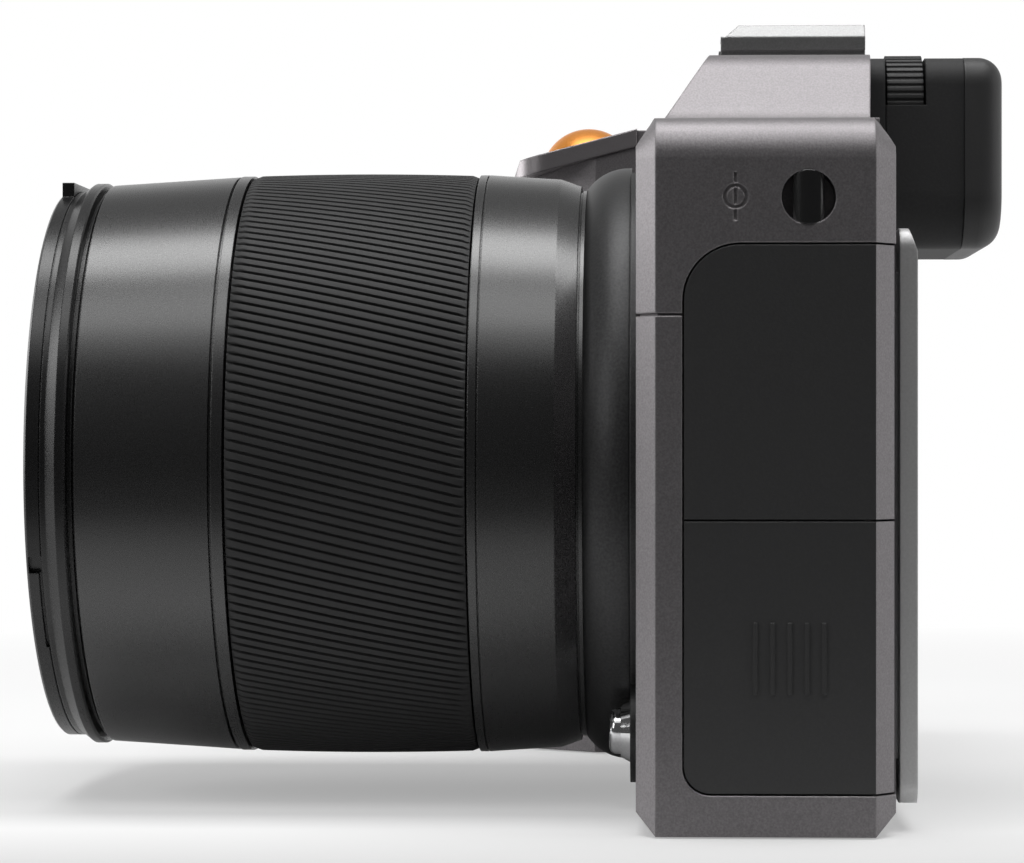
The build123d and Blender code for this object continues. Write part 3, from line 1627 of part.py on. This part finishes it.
def focusRing():
    back = focusBackY
    mid = (focusFrontY + back) / 2
    crown = focusR + focusCrown
    edge = focusCrown
    points = [
        (focusBoreR, focusFrontY),
        (focusR - edge, focusFrontY),
        (focusR, focusFrontY + edge),
        (crown, mid),
        (focusR, back - edge),
        (focusR - edge, back),
        (focusBoreR, back),
    ]
    solid = turned(points)
    long = back - focusFrontY
    slope = math.degrees(math.atan2(crown * math.radians(ringTwist), long))
    bar = Pos(crown, 0, 0) * Rot(-slope, 0, 0) * Box(
        2 * ringGrooveDeep, long - 2 * ringGrooveEnd, ringGrooveWide
    )
    for i in range(ringGrooves):
        solid -= Pos(0, mid, lensZ) * Rot(0, i * 360 / ringGrooves, 0) * bar
    return solid


os.makedirs("parts", exist_ok=True)

# Camera body
save(bodyShell(), "body_shell")
save(topCover(), "top_cover")
save(gripSkinForm(), "grip_cover")
save(gripTopPlate(), "grip_top_plate")
save(mountPlate(), "mount_plate")
save(mountCollar(), "mount_collar")
save(mountRing(), "mount_ring")
save(Compound(children=mountScrews()), "mount_screws")
save(releaseBezel(), "release_bezel")
save(bodyContacts(), "body_contacts")
save(sensorFrame(), "sensor_frame")
save(imageSensor(), "image_sensor")
save(sensorGlass(), "sensor_glass")
save(mainBoard(), "main_board")
save(displayFrame(), "display_frame")
save(displayGlass(), "display_glass")
save(evfHousing(), "evf_housing")
save(eyecup(), "eyecup")
save(eyepieceLens(), "eyepiece_lens")
save(evfDisplay(), "evf_display")
save(hotShoe(), "hot_shoe")
save(shoeContacts(), "hot_shoe_contacts")
save(connectorBlock(), "connector_block")
save(cardSlotBlock(), "card_slot_block")
save(Compound(children=[strapBar(leftX, 1), strapBar(gripX, -1)]), "strap_bars")
save(Compound(children=doorPins()), "door_pins")
save(tripodBush(), "tripod_bush")
save(batteryContacts(), "battery_contacts")

# Moving pieces of the body
save(diopterWheel(), "diopter_wheel")
save(shutterButton(), "shutter_button")
save(
    wheel(frontWheelX, frontWheelY, frontWheelZ, frontWheelR, frontWheelHalf, wheelNotches, wheelNotchR),
    "front_wheel"
)
save(
    wheel(rearWheelX, rearWheelY, rearWheelZ, rearWheelR, rearWheelHalf, wheelNotches, wheelNotchR),
    "rear_wheel"
)
save(modeStem(), "mode_dial_stem")
save(modeDial(), "mode_dial")
for name, place in topKeyPlaces().items():
    save(topKey(*place), name)
for name, x in thumbKeyPlaces().items():
    save(thumbKey(x), name)
for i, z in enumerate(keyZs):
    save(keyAt(z), "rear_key_" + str(i + 1))
save(doorSolid("connector_door"), "connector_door")
cardDoor = doorSolid("card_door")
for bar in doorRidgeBars():
    cardDoor += bar
save(cardDoor, "card_door")
save(battery(), "battery")
save(batteryLatch(), "battery_latch")
save(releaseButton(), "lens_release_button")
save(lockPin(), "lens_lock_pin")

# Lens
save(lensFrontRing(), "lens_front_ring")
save(lensBarrel(), "lens_barrel")
save(lensRearBarrel(), "lens_rear_barrel")
save(lensBayonet(), "lens_bayonet")
save(lensContacts(), "lens_contacts")
save(Compound(children=lensElements()), "lens_elements")
save(shutterUnit(), "shutter_unit")
save(Compound(children=guideRods()), "guide_rods")
save(Compound(children=focusingGroup()), "focusing_group")
save(focusRing(), "focus_ring")
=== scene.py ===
import bpy
import json
import math
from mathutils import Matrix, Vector


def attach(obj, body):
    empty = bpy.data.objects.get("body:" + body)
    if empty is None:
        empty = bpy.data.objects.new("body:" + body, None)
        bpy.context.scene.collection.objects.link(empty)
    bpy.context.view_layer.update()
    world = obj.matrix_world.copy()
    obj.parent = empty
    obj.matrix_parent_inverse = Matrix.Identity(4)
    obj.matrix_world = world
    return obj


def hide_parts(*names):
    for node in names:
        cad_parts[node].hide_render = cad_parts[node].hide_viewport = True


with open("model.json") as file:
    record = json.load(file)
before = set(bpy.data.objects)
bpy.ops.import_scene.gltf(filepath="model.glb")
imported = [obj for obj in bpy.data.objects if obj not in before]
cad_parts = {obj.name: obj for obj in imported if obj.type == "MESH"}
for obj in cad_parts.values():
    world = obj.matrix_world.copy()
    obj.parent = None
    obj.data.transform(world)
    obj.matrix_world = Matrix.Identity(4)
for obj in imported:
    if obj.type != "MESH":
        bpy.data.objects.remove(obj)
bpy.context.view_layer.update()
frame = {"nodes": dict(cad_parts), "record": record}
nodes = frame["nodes"]
mm = 0.001
print("frame loaded:", len(nodes), "pieces from the CAD")


# Shader maths: a wrapped socket adds Math nodes through plain expressions
class Sock:
    def __init__(self, mat, socket):
        self.mat = mat
        self.socket = socket

    def calc(self, operation, *others):
        return self.mat.add("ShaderNodeMath", {"operation": operation}, self, *others)

    def __add__(self, other): return self.calc("ADD", other)
    def __sub__(self, other): return self.calc("SUBTRACT", other)
    def __rsub__(self, other): return self.mat.add("ShaderNodeMath", {"operation": "SUBTRACT"}, other, self)
    def __mul__(self, other): return self.calc("MULTIPLY", other)
    def __pow__(self, other): return self.calc("POWER", other)
    def __gt__(self, other): return self.calc("GREATER_THAN", other)
    def top(self, other): return self.calc("MAXIMUM", other)
    def sine(self): return self.calc("SINE")

    def ramp(self, fromLow, fromHigh, toLow=0.0, toHigh=1.0):
        return self.mat.add("ShaderNodeMapRange", {"clamp": True}, self, fromLow, fromHigh, toLow, toHigh)


class Mat:
    def __init__(self, name, tree=None):
        if tree is None:
            self.data = bpy.data.materials.new(name)
            self.data.use_nodes = True
            tree = self.data.node_tree
        self.tree = tree
        tree.nodes.clear()

    # Adds any node: its type, its settings first, then the values or links of its sockets
    def add(self, kind, settings=None, *inputs, output=0, **named):
        node = self.tree.nodes.new(kind)
        for key, value in (settings or {}).items():
            setattr(node, key, value)
        for place, value in enumerate(inputs):
            self.feed(node.inputs[place], value)
        for key, value in named.items():
            self.feed(node.inputs[key.replace("_", " ")], value)
        return Sock(self, node.outputs[output]) if len(node.outputs) else None

    def feed(self, socket, value):
        if value is None:
            return
        if isinstance(value, Sock):
            self.tree.links.new(value.socket, socket)
        elif isinstance(value, (tuple, list)) and len(value) == 3 and socket.type == "RGBA":
            socket.default_value = (*value, 1.0)
        else:
            socket.default_value = value

    def place(self):
        return self.add("ShaderNodeTexCoord", output="Object")

    def noise(self, scale, detail=2.0, rough=0.5):
        return self.add("ShaderNodeTexNoise", None, self.place(), Scale=scale, Detail=detail, Roughness=rough)

    def split(self, vector):
        node = self.add("ShaderNodeSeparateXYZ", None, vector).socket.node
        return [Sock(self, axis) for axis in node.outputs]

    # The Mix node keeps its two colours after five sockets of other kinds
    def blend(self, factor, first, second):
        return self.add("ShaderNodeMix", {"data_type": "RGBA"}, factor, *[None] * 5, first, second, output=2)

    def bump(self, height, distance, strength, normal=None):
        return self.add(
            "ShaderNodeBump", None, Height=height, Distance=distance, Strength=strength, Normal=normal
        )

    def rounded(self, radius):
        return self.add("ShaderNodeBevel", {"samples": 4}, Radius=radius)

    # Edge mask for a painted highlight: it rises where the bevelled normal leaves the flat one
    def edge(self, radius):
        flat = self.add("ShaderNodeNewGeometry", output="Normal")
        dot = {"operation": "DOT_PRODUCT"}
        facing = self.add("ShaderNodeVectorMath", dot, self.rounded(radius), flat, output="Value")
        return facing.ramp(0.995, 0.8)

    def finish(self, **sockets):
        shader = self.add("ShaderNodeBsdfPrincipled", None, **sockets)
        self.add("ShaderNodeOutputMaterial", None, shader)
        return self.data


# Bead-blasted metal with a fine speck, and a painted highlight that makes its edges a little lighter
metalLook = {
    "colour": (0.2, 0.189, 0.196),
    "lighterTone": (0.36, 0.345, 0.352),
    "metal": 0.92,
    "speck": 4200.0,
    "speckMix": 0.45,
    "speckRough": 0.1,
    "cloud": 60.0,
    "cloudRough": 0.08,
    "rough": 0.5,
    "edge": 0.00035,
    "edgeSheenMix": 0.5,
    "edgeRough": 0.08,
    "depth": 0.00003,
    "bump": 0.5,
}
collarLook = {
    **metalLook,
    "colour": (0.05, 0.05, 0.051),
    "lighterTone": (0.1, 0.1, 0.1),
    "speck": 3000.0,
    "rough": 0.46,
}
frameLook = {
    **metalLook,
    "colour": (0.56, 0.56, 0.56),
    "lighterTone": (0.7, 0.7, 0.7),
    "metal": 0.6,
    "speck": 3000.0,
}
shoeLook = {**metalLook, "colour": (0.28, 0.28, 0.28), "lighterTone": (0.4, 0.4, 0.4), "rough": 0.42}
# The grip's top plate is the body metal made lighter, a painted highlight for the light its curved top
# catches
gripPlateLitLook = {**metalLook, "colour": (0.32, 0.3, 0.31), "rough": 0.4}
orangeLook = {
    **metalLook,
    "colour": (0.78, 0.27, 0.035),
    "lighterTone": (0.9, 0.42, 0.1),
    "metal": 0.55,
    "rough": 0.36,
}


def beadBlasted(name, look):
    mat = Mat(name)
    speck = mat.noise(look["speck"])
    cloud = mat.noise(look["cloud"], 3.0)
    edge = mat.edge(look["edge"])
    body = mat.blend(speck.ramp(0.3, 0.7) * look["speckMix"], look["colour"], look["lighterTone"])
    drift = (cloud - 0.5) * look["cloudRough"] + (speck - 0.5) * look["speckRough"]
    return mat.finish(
        # The edges take the lighter tone as a painted highlight; the speck is the metal's own grain
        Base_Color=mat.blend(edge * look["edgeSheenMix"], body, look["lighterTone"]),
        Metallic=look["metal"],
        Roughness=drift + look["rough"] - edge * look["edgeRough"],
        Normal=mat.bump(speck, look["depth"], look["bump"], mat.rounded(look["edge"])),
    )


# Black anodised aluminium with the faint rings that turning leaves around the lens axis
anodisedLook = {
    "colour": (0.006, 0.006, 0.0063),
    "lighterTone": (0.04, 0.04, 0.041),
    "speck": 5200.0,
    "speckMix": 0.05,
    "speckRough": 0.12,
    "cloud": 35.0,
    "cloudRough": 0.06,
    "rings": 21000.0,
    "ringRough": 0.005,
    "rough": 0.28,
    "specular": 0.95,
    "edge": 0.0003,
    "edgeSheenMix": 0.4,
    "round": 0.0002,
    "depth": 0.000012,
    "bump": 0.3,
}


def anodised(name, look, turned=True):
    mat = Mat(name)
    speck = mat.noise(look["speck"])
    cloud = mat.noise(look["cloud"], 3.0)
    x, y, z = mat.split(mat.place())
    rings = (y * look["rings"]).sine() if turned else speck
    # The edges take the lighter tone as a painted highlight; the speck is a real variation in tone
    lighterTone = mat.edge(look["edge"]) * look["edgeSheenMix"] + speck.ramp(0.45, 0.75) * look["speckMix"]
    drift = (speck - 0.5) * look["speckRough"] + (cloud - 0.5) * look["cloudRough"]
    return mat.finish(
        Base_Color=mat.blend(lighterTone, look["colour"], look["lighterTone"]),
        Roughness=drift + rings * look["ringRough"] + look["rough"],
        Normal=mat.bump(speck, look["depth"], look["bump"], mat.rounded(look["round"])),
        Specular_IOR_Level=look["specular"],
    )


# Moulded plastic: a fine spark-eroded grain, a slow drift in gloss and softened edges, which a painted
# highlight makes lighter
plasticLook = {
    "colour": (0.029, 0.029, 0.0295),
    "light": (0.05, 0.05, 0.051),
    "lightMix": 0.35,
    "grain": 2600.0,
    "grainRough": 0.14,
    "cloud": 40.0,
    "cloudRough": 0.06,
    "rough": 0.5,
    "specular": 0.45,
    "edge": 0.00035,
    "round": 0.00025,
    "depth": 0.00004,
    "bump": 0.5,
}
evfLook = {**plasticLook, "rough": 0.64, "specular": 0.3}


def mouldedPlastic(name, look):
    mat = Mat(name)
    grain = mat.noise(look["grain"], 3.0, 0.6)
    cloud = mat.noise(look["cloud"])
    # Lighter grain spots are the plastic's own tone; lighter edges are a painted highlight
    lighterTone = grain.ramp(0.4, 0.75) * look["lightMix"] + mat.edge(look["edge"]) * look["lightMix"]
    drift = (grain - 0.5) * look["grainRough"] + (cloud - 0.5) * look["cloudRough"]
    return mat.finish(
        Base_Color=mat.blend(lighterTone, look["colour"], look["light"]),
        Roughness=drift + look["rough"],
        Normal=mat.bump(grain, look["depth"], look["bump"], mat.rounded(look["round"])),
        Specular_IOR_Level=look["specular"],
    )


# The doors are plastic on the side and body metal where they turn round the rear edge
doorLook = {
    **plasticLook,
    "colour": (0.034, 0.034, 0.0345),
    "rough": 0.47,
    "grain": 3200.0,
    "edge": 0.0003,
    "metalFrom": 16.28 * mm,
}


def doorSkin(name, look, metal):
    mat = Mat(name)
    grain = mat.noise(look["grain"], 3.0, 0.6)
    speck = mat.noise(metal["speck"])
    x, y, z = mat.split(mat.place())
    turned = y > look["metalFrom"]
    # A painted highlight lightens the edges of both the plastic and the metal
    edge = mat.edge(look["edge"]) * look["lightMix"]
    plastic = mat.blend(grain.ramp(0.4, 0.75) * look["lightMix"] + edge, look["colour"], look["light"])
    shell = mat.blend(speck.ramp(0.3, 0.7) * look["lightMix"] + edge, metal["colour"], metal["lighterTone"])
    rough = (grain - 0.5) * look["grainRough"] + look["rough"]
    return mat.finish(
        Base_Color=mat.blend(turned, plastic, shell),
        Metallic=turned * metal["metal"],
        Roughness=rough + turned * (metal["rough"] - look["rough"]),
        Normal=mat.bump(grain, look["depth"], look["bump"], mat.rounded(look["round"])),
        Specular_IOR_Level=look["specular"],
    )


# Grip rubber: small rounded pebbles with a fine grain over them
rubberLook = {
    "colour": (0.024, 0.024, 0.0243),
    "lighterTone": (0.034, 0.034, 0.035),
    "wornMix": 0.4,
    "cell": 900.0,
    "smooth": 0.6,
    "grain": 5200.0,
    "depth": 0.00012,
    "rough": 0.62,
}
eyecupLook = {**rubberLook, "colour": (0.038, 0.038, 0.0385), "lighterTone": (0.055, 0.055, 0.055), "rough": 0.5}


def pebbledRubber(name, look):
    mat = Mat(name)
    kind = {"feature": "SMOOTH_F1"}
    cells = mat.add("ShaderNodeTexVoronoi", kind, mat.place(), Scale=look["cell"], Smoothness=look["smooth"])
    fine = mat.noise(look["grain"])
    height = (1 - cells) * 0.8 + fine * 0.2
    return mat.finish(
        Base_Color=mat.blend(cells.ramp(0.55, 0.1) * look["wornMix"], look["colour"], look["lighterTone"]),
        Roughness=(fine - 0.5) * 0.15 + look["rough"] - cells.ramp(0.5, 0.0) * 0.05,
        Normal=mat.bump(height, look["depth"], 0.6),
        Specular_IOR_Level=0.35,
    )


# Plain rubber, as of the focus ring and the eyecup
def fineRubber(name, look):
    mat = Mat(name)
    fine = mat.noise(3800.0, 3.0)
    cloud = mat.noise(120.0)
    return mat.finish(
        Base_Color=mat.blend(cloud.ramp(0.35, 0.7) * look["wornMix"], look["colour"], look["lighterTone"]),
        Roughness=(fine - 0.5) * 0.14 + look["rough"] + (cloud - 0.5) * 0.08,
        Normal=mat.bump(fine, 0.00003, 0.5),
        Specular_IOR_Level=0.4,
    )


lensHigh = 43.0


# Turned or milled metal: rings about the lens axis, streaks along X, or a plain fine grain
def machined(name, colour, rough, streak="rings"):
    mat = Mat(name)
    fine = mat.noise(3000.0)
    if streak == "rings":
        x, y, z = mat.split(mat.place())
        high = z - lensHigh * mm
        lines = ((x * x + high * high) ** 0.5 * 26000.0).sine()
    elif streak == "length":
        along = mat.add("ShaderNodeMapping", None, mat.place(), Scale=(40.0, 4000.0, 4000.0))
        lines = mat.add("ShaderNodeTexNoise", None, along, Scale=1.0)
    else:
        lines = fine
    dark = tuple(part * 0.7 for part in colour)
    return mat.finish(
        Base_Color=mat.blend(fine.ramp(0.3, 0.7) * 0.3, colour, dark),
        Metallic=1.0,
        Roughness=lines * 0.04 + rough,
        Normal=mat.bump(lines, 0.000004, 0.4),
    )


def coatedGlass(name, tint, coatingSheenTint):
    mat = Mat(name)
    dust = mat.noise(900.0, 4.0)
    # The coating's coloured reflection is painted into the base colour, stronger towards grazing angles
    shine = mat.add("ShaderNodeLayerWeight", None, 0.35, output="Facing")
    return mat.finish(
        Base_Color=mat.blend(shine, tint, coatingSheenTint),
        Roughness=dust.ramp(0.62, 0.8) * 0.05 + 0.02,
        IOR=1.7,
        Coat_Weight=1.0,
        Coat_Roughness=0.02,
    )


def screenGlass(name):
    mat = Mat(name)
    smear = mat.noise(70.0, 4.0, 0.65)
    return mat.finish(
        Base_Color=mat.blend(smear.ramp(0.4, 0.7) * 0.5, (0.006, 0.006, 0.007), (0.011, 0.011, 0.013)),
        Roughness=smear.ramp(0.45, 0.75) * 0.1 + 0.05,
        Coat_Weight=0.5,
    )


boardLook = {"green": (0.012, 0.09, 0.04), "lighter": (0.014, 0.11, 0.05), "tracks": (0.3, 0.2, 0.06)}


def circuitBoard(name, look):
    mat = Mat(name)
    tracks = mat.add(
        "ShaderNodeTexBrick", None, mat.place(), look["green"], look["lighter"], look["tracks"],
        Scale=260.0, Mortar_Size=0.03,
    )
    fine = mat.noise(1500.0)
    return mat.finish(Base_Color=tracks, Roughness=fine * 0.2 + 0.4, Normal=mat.bump(fine, 0.00002, 0.3))


def sensorFace(name):
    mat = Mat(name)
    x, y, z = mat.split(mat.place())
    fine = mat.noise(4000.0, 1.0)
    bands = (x * 900.0 + z * 700.0).sine()
    colour = mat.blend(bands.ramp(-1.0, 1.0), (0.03, 0.035, 0.075), (0.055, 0.03, 0.06))
    return mat.finish(Base_Color=colour, Metallic=0.7, Roughness=fine * 0.06 + 0.16)


finishes = {
    "graphite_metal": beadBlasted("graphiteMetal", metalLook),
    "black_anodised": anodised("blackAnodised", anodisedLook),
    "black_plastic": mouldedPlastic("blackPlastic", plasticLook),
    "grip_rubber": pebbledRubber("gripRubber", rubberLook),
    "ring_rubber": fineRubber("ringRubber", rubberLook),
    "steel": machined("steel", (0.56, 0.56, 0.57), 0.24),
    "chrome": machined("chrome", (0.78, 0.78, 0.79), 0.08, "fine"),
    "orange_metal": beadBlasted("orangeMetal", orangeLook),
    "gold_contacts": machined("goldContacts", (0.83, 0.6, 0.24), 0.2, "fine"),
    "optical_glass": coatedGlass("opticalGlass", (0.006, 0.008, 0.012), (0.03, 0.05, 0.035)),
    "display_glass": screenGlass("displayGlass"),
    "circuit_board": circuitBoard("circuitBoard", boardLook),
    "sensor_silicon": sensorFace("sensorSilicon"),
    "bare_aluminium": machined("bareAluminium", (0.5, 0.5, 0.51), 0.3, "length"),
}

# Pieces whose finish differs from that of their slot
special = {
    "evf_housing": mouldedPlastic("evfPlastic", evfLook),
    "eyecup": fineRubber("eyecupRubber", eyecupLook),
    "connector_door": doorSkin("doorSkin", doorLook, metalLook),
    "mount_collar": beadBlasted("collarMetal", collarLook),
    "display_frame": beadBlasted("frameMetal", frameLook),
    "hot_shoe": beadBlasted("shoeMetal", shoeLook),
    "grip_top_plate": beadBlasted("gripMetalLitCopy", gripPlateLitLook),
    "lens_front_ring": anodised("frontRing", {**anodisedLook, "specular": 0.5}),
    "strap_bars": anodised("strapBarGloss", {**anodisedLook, "rough": 0.16}, turned=False),
}
special["card_door"] = special["connector_door"]
special["mount_plate"] = special["mount_collar"]

for part in frame["record"]["subparts"]:
    item = nodes[part["node"]]
    item.data.materials.clear()
    item.data.materials.append(special.get(part["node"], finishes[part["material_slot"]]))
print("materials: ", len(finishes) + len(special), "finishes set")


# Builds a mesh object from points and faces, shaded smooth below an angle
def addPiece(name, points, faces, finish, body, sharp):
    mesh = bpy.data.meshes.new(name)
    mesh.from_pydata(points, [], faces)
    mesh.validate()
    mesh.polygons.foreach_set("use_smooth", [True] * len(mesh.polygons))
    mesh.set_sharp_from_angle(angle=math.radians(sharp))
    mesh.materials.append(finish)
    item = bpy.data.objects.new(name, mesh)
    bpy.context.scene.collection.objects.link(item)
    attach(item, body)
    return item


# A closed profile of (radius, y) in mm, swept round the lens axis.
# The wave changes the radius by step and place, and the turn twists it along the axis.
def sweptRing(profile, steps, wave, turn):
    points, faces = [], []
    count = len(profile)
    for step in range(steps):
        base = 2 * math.pi * step / steps
        for place, (radius, y) in enumerate(profile):
            angle = base + turn(y)
            reach = radius + wave(step, place, y)
            points.append((reach * math.cos(angle) * mm, y * mm, (lensHigh + reach * math.sin(angle)) * mm))
    for step in range(steps):
        here, after = step * count, (step + 1) % steps * count
        for place in range(count):
            near = (place + 1) % count
            faces.append((here + place, here + near, after + near, after + place))
    return points, faces


# Focus ring: fine helical rubber ribs between two plain beads
focusRibs = {
    "frontY": -62.2,
    "backY": -32.7,
    "radius": 38.35,
    "crown": 0.25,
    "bore": 35.0,
    "count": 196,
    "twist": 11.0,
    "deep": 0.4,
    "ribShape": (0.0, 0.0, 0.0, 0.0, -0.04, -1.0, -1.0, -0.04),
    "endStep": 0.75,
    "lip": (0.05, 0.3),
    "fade": (0.25, 0.6),
    "rows": 34,
}


def ribbedFocusRing(look):
    frontY, backY = look["frontY"], look["backY"]
    long = backY - frontY
    outer = []
    for row in range(look["rows"] + 1):
        share = row / look["rows"]
        crown = look["crown"] * (1 - (2 * share - 1) ** 2)
        outer.append((look["radius"] - look["crown"] + crown, frontY + long * share))
    endRadius = look["radius"] - look["endStep"]
    ends = [(endRadius, backY), (look["bore"], backY), (look["bore"], frontY), (endRadius, frontY)]
    ribLast = len(outer) - 1
    shape = look["ribShape"]
    lipWide, lipDeep = look["lip"]
    fadeFrom, fadeLong = look["fade"]

    # The ribs die out towards each end, and the very end is a lip
    def wave(step, place, y):
        if place > ribLast:
            return 0.0
        away = min(y - frontY, backY - y)
        if away < lipWide:
            return -lipDeep
        fade = min(1.0, max(0.0, (away - fadeFrom) / fadeLong))
        return look["deep"] * shape[step % len(shape)] * fade

    def turn(y):
        return -math.radians(look["twist"]) * (y - frontY) / long

    points, faces = sweptRing(outer + ends, look["count"] * len(shape), wave, turn)
    ring = addPiece("focusRibs", points, faces, finishes["ring_rubber"], "focus_ring", 50.0)
    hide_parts("focus_ring")


ribbedFocusRing(focusRibs)
print("focus ring: ", focusRibs["count"], "ribs")


# Camera as the photograph was taken: a long lens, level, seen square to the left side
cameraLook = {
    "place": (462.83, -8.14, 46.71),
    "yaw": -0.0335,
    "pitch": -0.0005,
    "lens": 122.4,
    "shiftX": -0.0358,
    "shiftY": 0.0053,
}


def addCamera(look):
    data = bpy.data.cameras.new("camera")
    item = bpy.data.objects.new("camera", data)
    bpy.context.scene.collection.objects.link(item)
    item.location = Vector(look["place"]) * mm
    yaw, pitch = look["yaw"], look["pitch"]
    ahead = Vector((-math.cos(yaw), math.sin(yaw), math.sin(pitch)))
    item.rotation_mode = "QUATERNION"
    item.rotation_quaternion = ahead.to_track_quat("-Z", "Y")
    data.lens = look["lens"]
    data.sensor_width = 36.0
    data.shift_x = look["shiftX"]
    data.shift_y = look["shiftY"]
    data.clip_start = 0.01
    bpy.context.scene.camera = item


addCamera(cameraLook)


# Studio: a bright soft box overhead, weaker ones down towards the camera, one low, one before, one behind
def addSoftBox(name, place, target, size, radiance):
    data = bpy.data.lights.new(name, "AREA")
    data.shape = "RECTANGLE"
    data.size, data.size_y = size[0] * mm, size[1] * mm
    data.energy = radiance * math.pi * data.size * data.size_y
    item = bpy.data.objects.new(name, data)
    bpy.context.scene.collection.objects.link(item)
    item.location = Vector(place) * mm
    item.rotation_mode = "QUATERNION"
    item.rotation_quaternion = (Vector(target) - Vector(place)).to_track_quat("-Z", "Y")
    item.visible_camera = False


studioLook = {
    "boxes": {
        "over": {"place": (-20, 40, 900), "target": (-20, 40, 0), "size": (320, 860), "radiance": 6.2},
        "shoulder": {"place": (370, -30, 790), "target": (30, -30, 60), "size": (900, 270), "radiance": 2.6},
        "side": {"place": (520, -30, 680), "target": (30, -30, 60), "size": (800, 220), "radiance": 0.8},
        "low": {"place": (455, -520, 340), "target": (55, -16, 45), "size": (240, 300), "radiance": 2.6},
        "front": {"place": (-235, -900, 260), "target": (-110, 0, 50), "size": (560, 460), "radiance": 3.7},
        "rear": {"place": (100, 860, 300), "target": (0, 0, 50), "size": (500, 420), "radiance": 1.3},
    },
    "farSide": (0.25, -0.5),
    "lowSky": (0.62, 0.3),
    "near": 0.075,
    "behind": 0.95,
    "aloft": 0.3,
    "floorColour": (0.84, 0.84, 0.84),
    # Painted shade for the unlit floor on the camera's side, seen only by reflections and bounced light
    "floorPaintedShade": (0.1, 0.1, 0.1),
    "floorShadeFrom": (0.05, 0.14),
    "floorGlow": 0.36,
    "floorHalf": 30.0,
    "floorUnder": 0.0002,
    "fade": (0.12, 0.4),
    "mirrored": (0.05, -0.1),
}
for boxName, box in studioLook["boxes"].items():
    addSoftBox(boxName + "Light", **box)


def rays(mat, first, *others):
    total = mat.add("ShaderNodeLightPath", output=first)
    for kind in others:
        total = total.top(mat.add("ShaderNodeLightPath", output=kind))
    return total


# White to the eye; behind the object a pale backdrop, dim above it and dim on the camera's side
def addWorld(look):
    world = bpy.data.worlds.new("studio")
    bpy.context.scene.world = world
    world.use_nodes = True
    mat = Mat("world", world.node_tree)
    x, y, z = mat.split(mat.add("ShaderNodeTexCoord", output="Generated"))
    backdrop = z.ramp(*look["lowSky"]) * (look["behind"] - look["aloft"]) + look["aloft"]
    level = x.ramp(*look["farSide"]) * (backdrop - look["near"]) + look["near"]
    seen = rays(mat, "Is Camera Ray", "Is Transmission Ray")
    shader = mat.add("ShaderNodeBackground", None, (1.0, 1.0, 1.0), level + seen * (1 - level))
    mat.add("ShaderNodeOutputWorld", None, shader)


addWorld(studioLook)


# On the camera's side the floor's colour fades softly to a painted shade, which reflections and bounced light
# see in place of the unlit studio there; to the eye it and what lies far off are as white as the background
def addFloor(look):
    half, low = look["floorHalf"], -look["floorUnder"]
    corners = [(-half, -half, low), (half, -half, low), (half, half, low), (-half, half, low)]
    mesh = bpy.data.meshes.new("floor")
    mesh.from_pydata(corners, [], [(0, 1, 2, 3)])
    floor = bpy.data.objects.new("floor", mesh)
    bpy.context.scene.collection.objects.link(floor)
    mat = Mat("floorPaper")
    x, y, z = mat.split(mat.add("ShaderNodeNewGeometry", output="Position"))
    # Beyond this the floor colour darkens, a painted shade for the unlit studio floor towards the camera
    paintedShadeMask = x.ramp(*look["floorShadeFrom"])
    away = ((x * x + y * y) ** 0.5).ramp(*look["fade"])
    paper = mat.add("ShaderNodeBsdfDiffuse", None, mat.blend(paintedShadeMask, look["floorColour"], look["floorPaintedShade"]))
    glow = mat.add("ShaderNodeEmission", None, (1.0, 1.0, 1.0), 1.0)
    seen = rays(mat, "Is Camera Ray", "Is Transmission Ray") * away.top(paintedShadeMask).top(look["floorGlow"])
    mirrored = rays(mat, "Is Glossy Ray") * away * x.ramp(*look["mirrored"])
    mixed = mat.add("ShaderNodeMixShader", None, seen.top(mirrored), paper, glow)
    mat.add("ShaderNodeOutputMaterial", None, mixed)
    mesh.materials.append(mat.data)


addFloor(studioLook)
bpy.context.scene.view_settings.view_transform = "Standard"
print("camera, lamps, world and floor set")
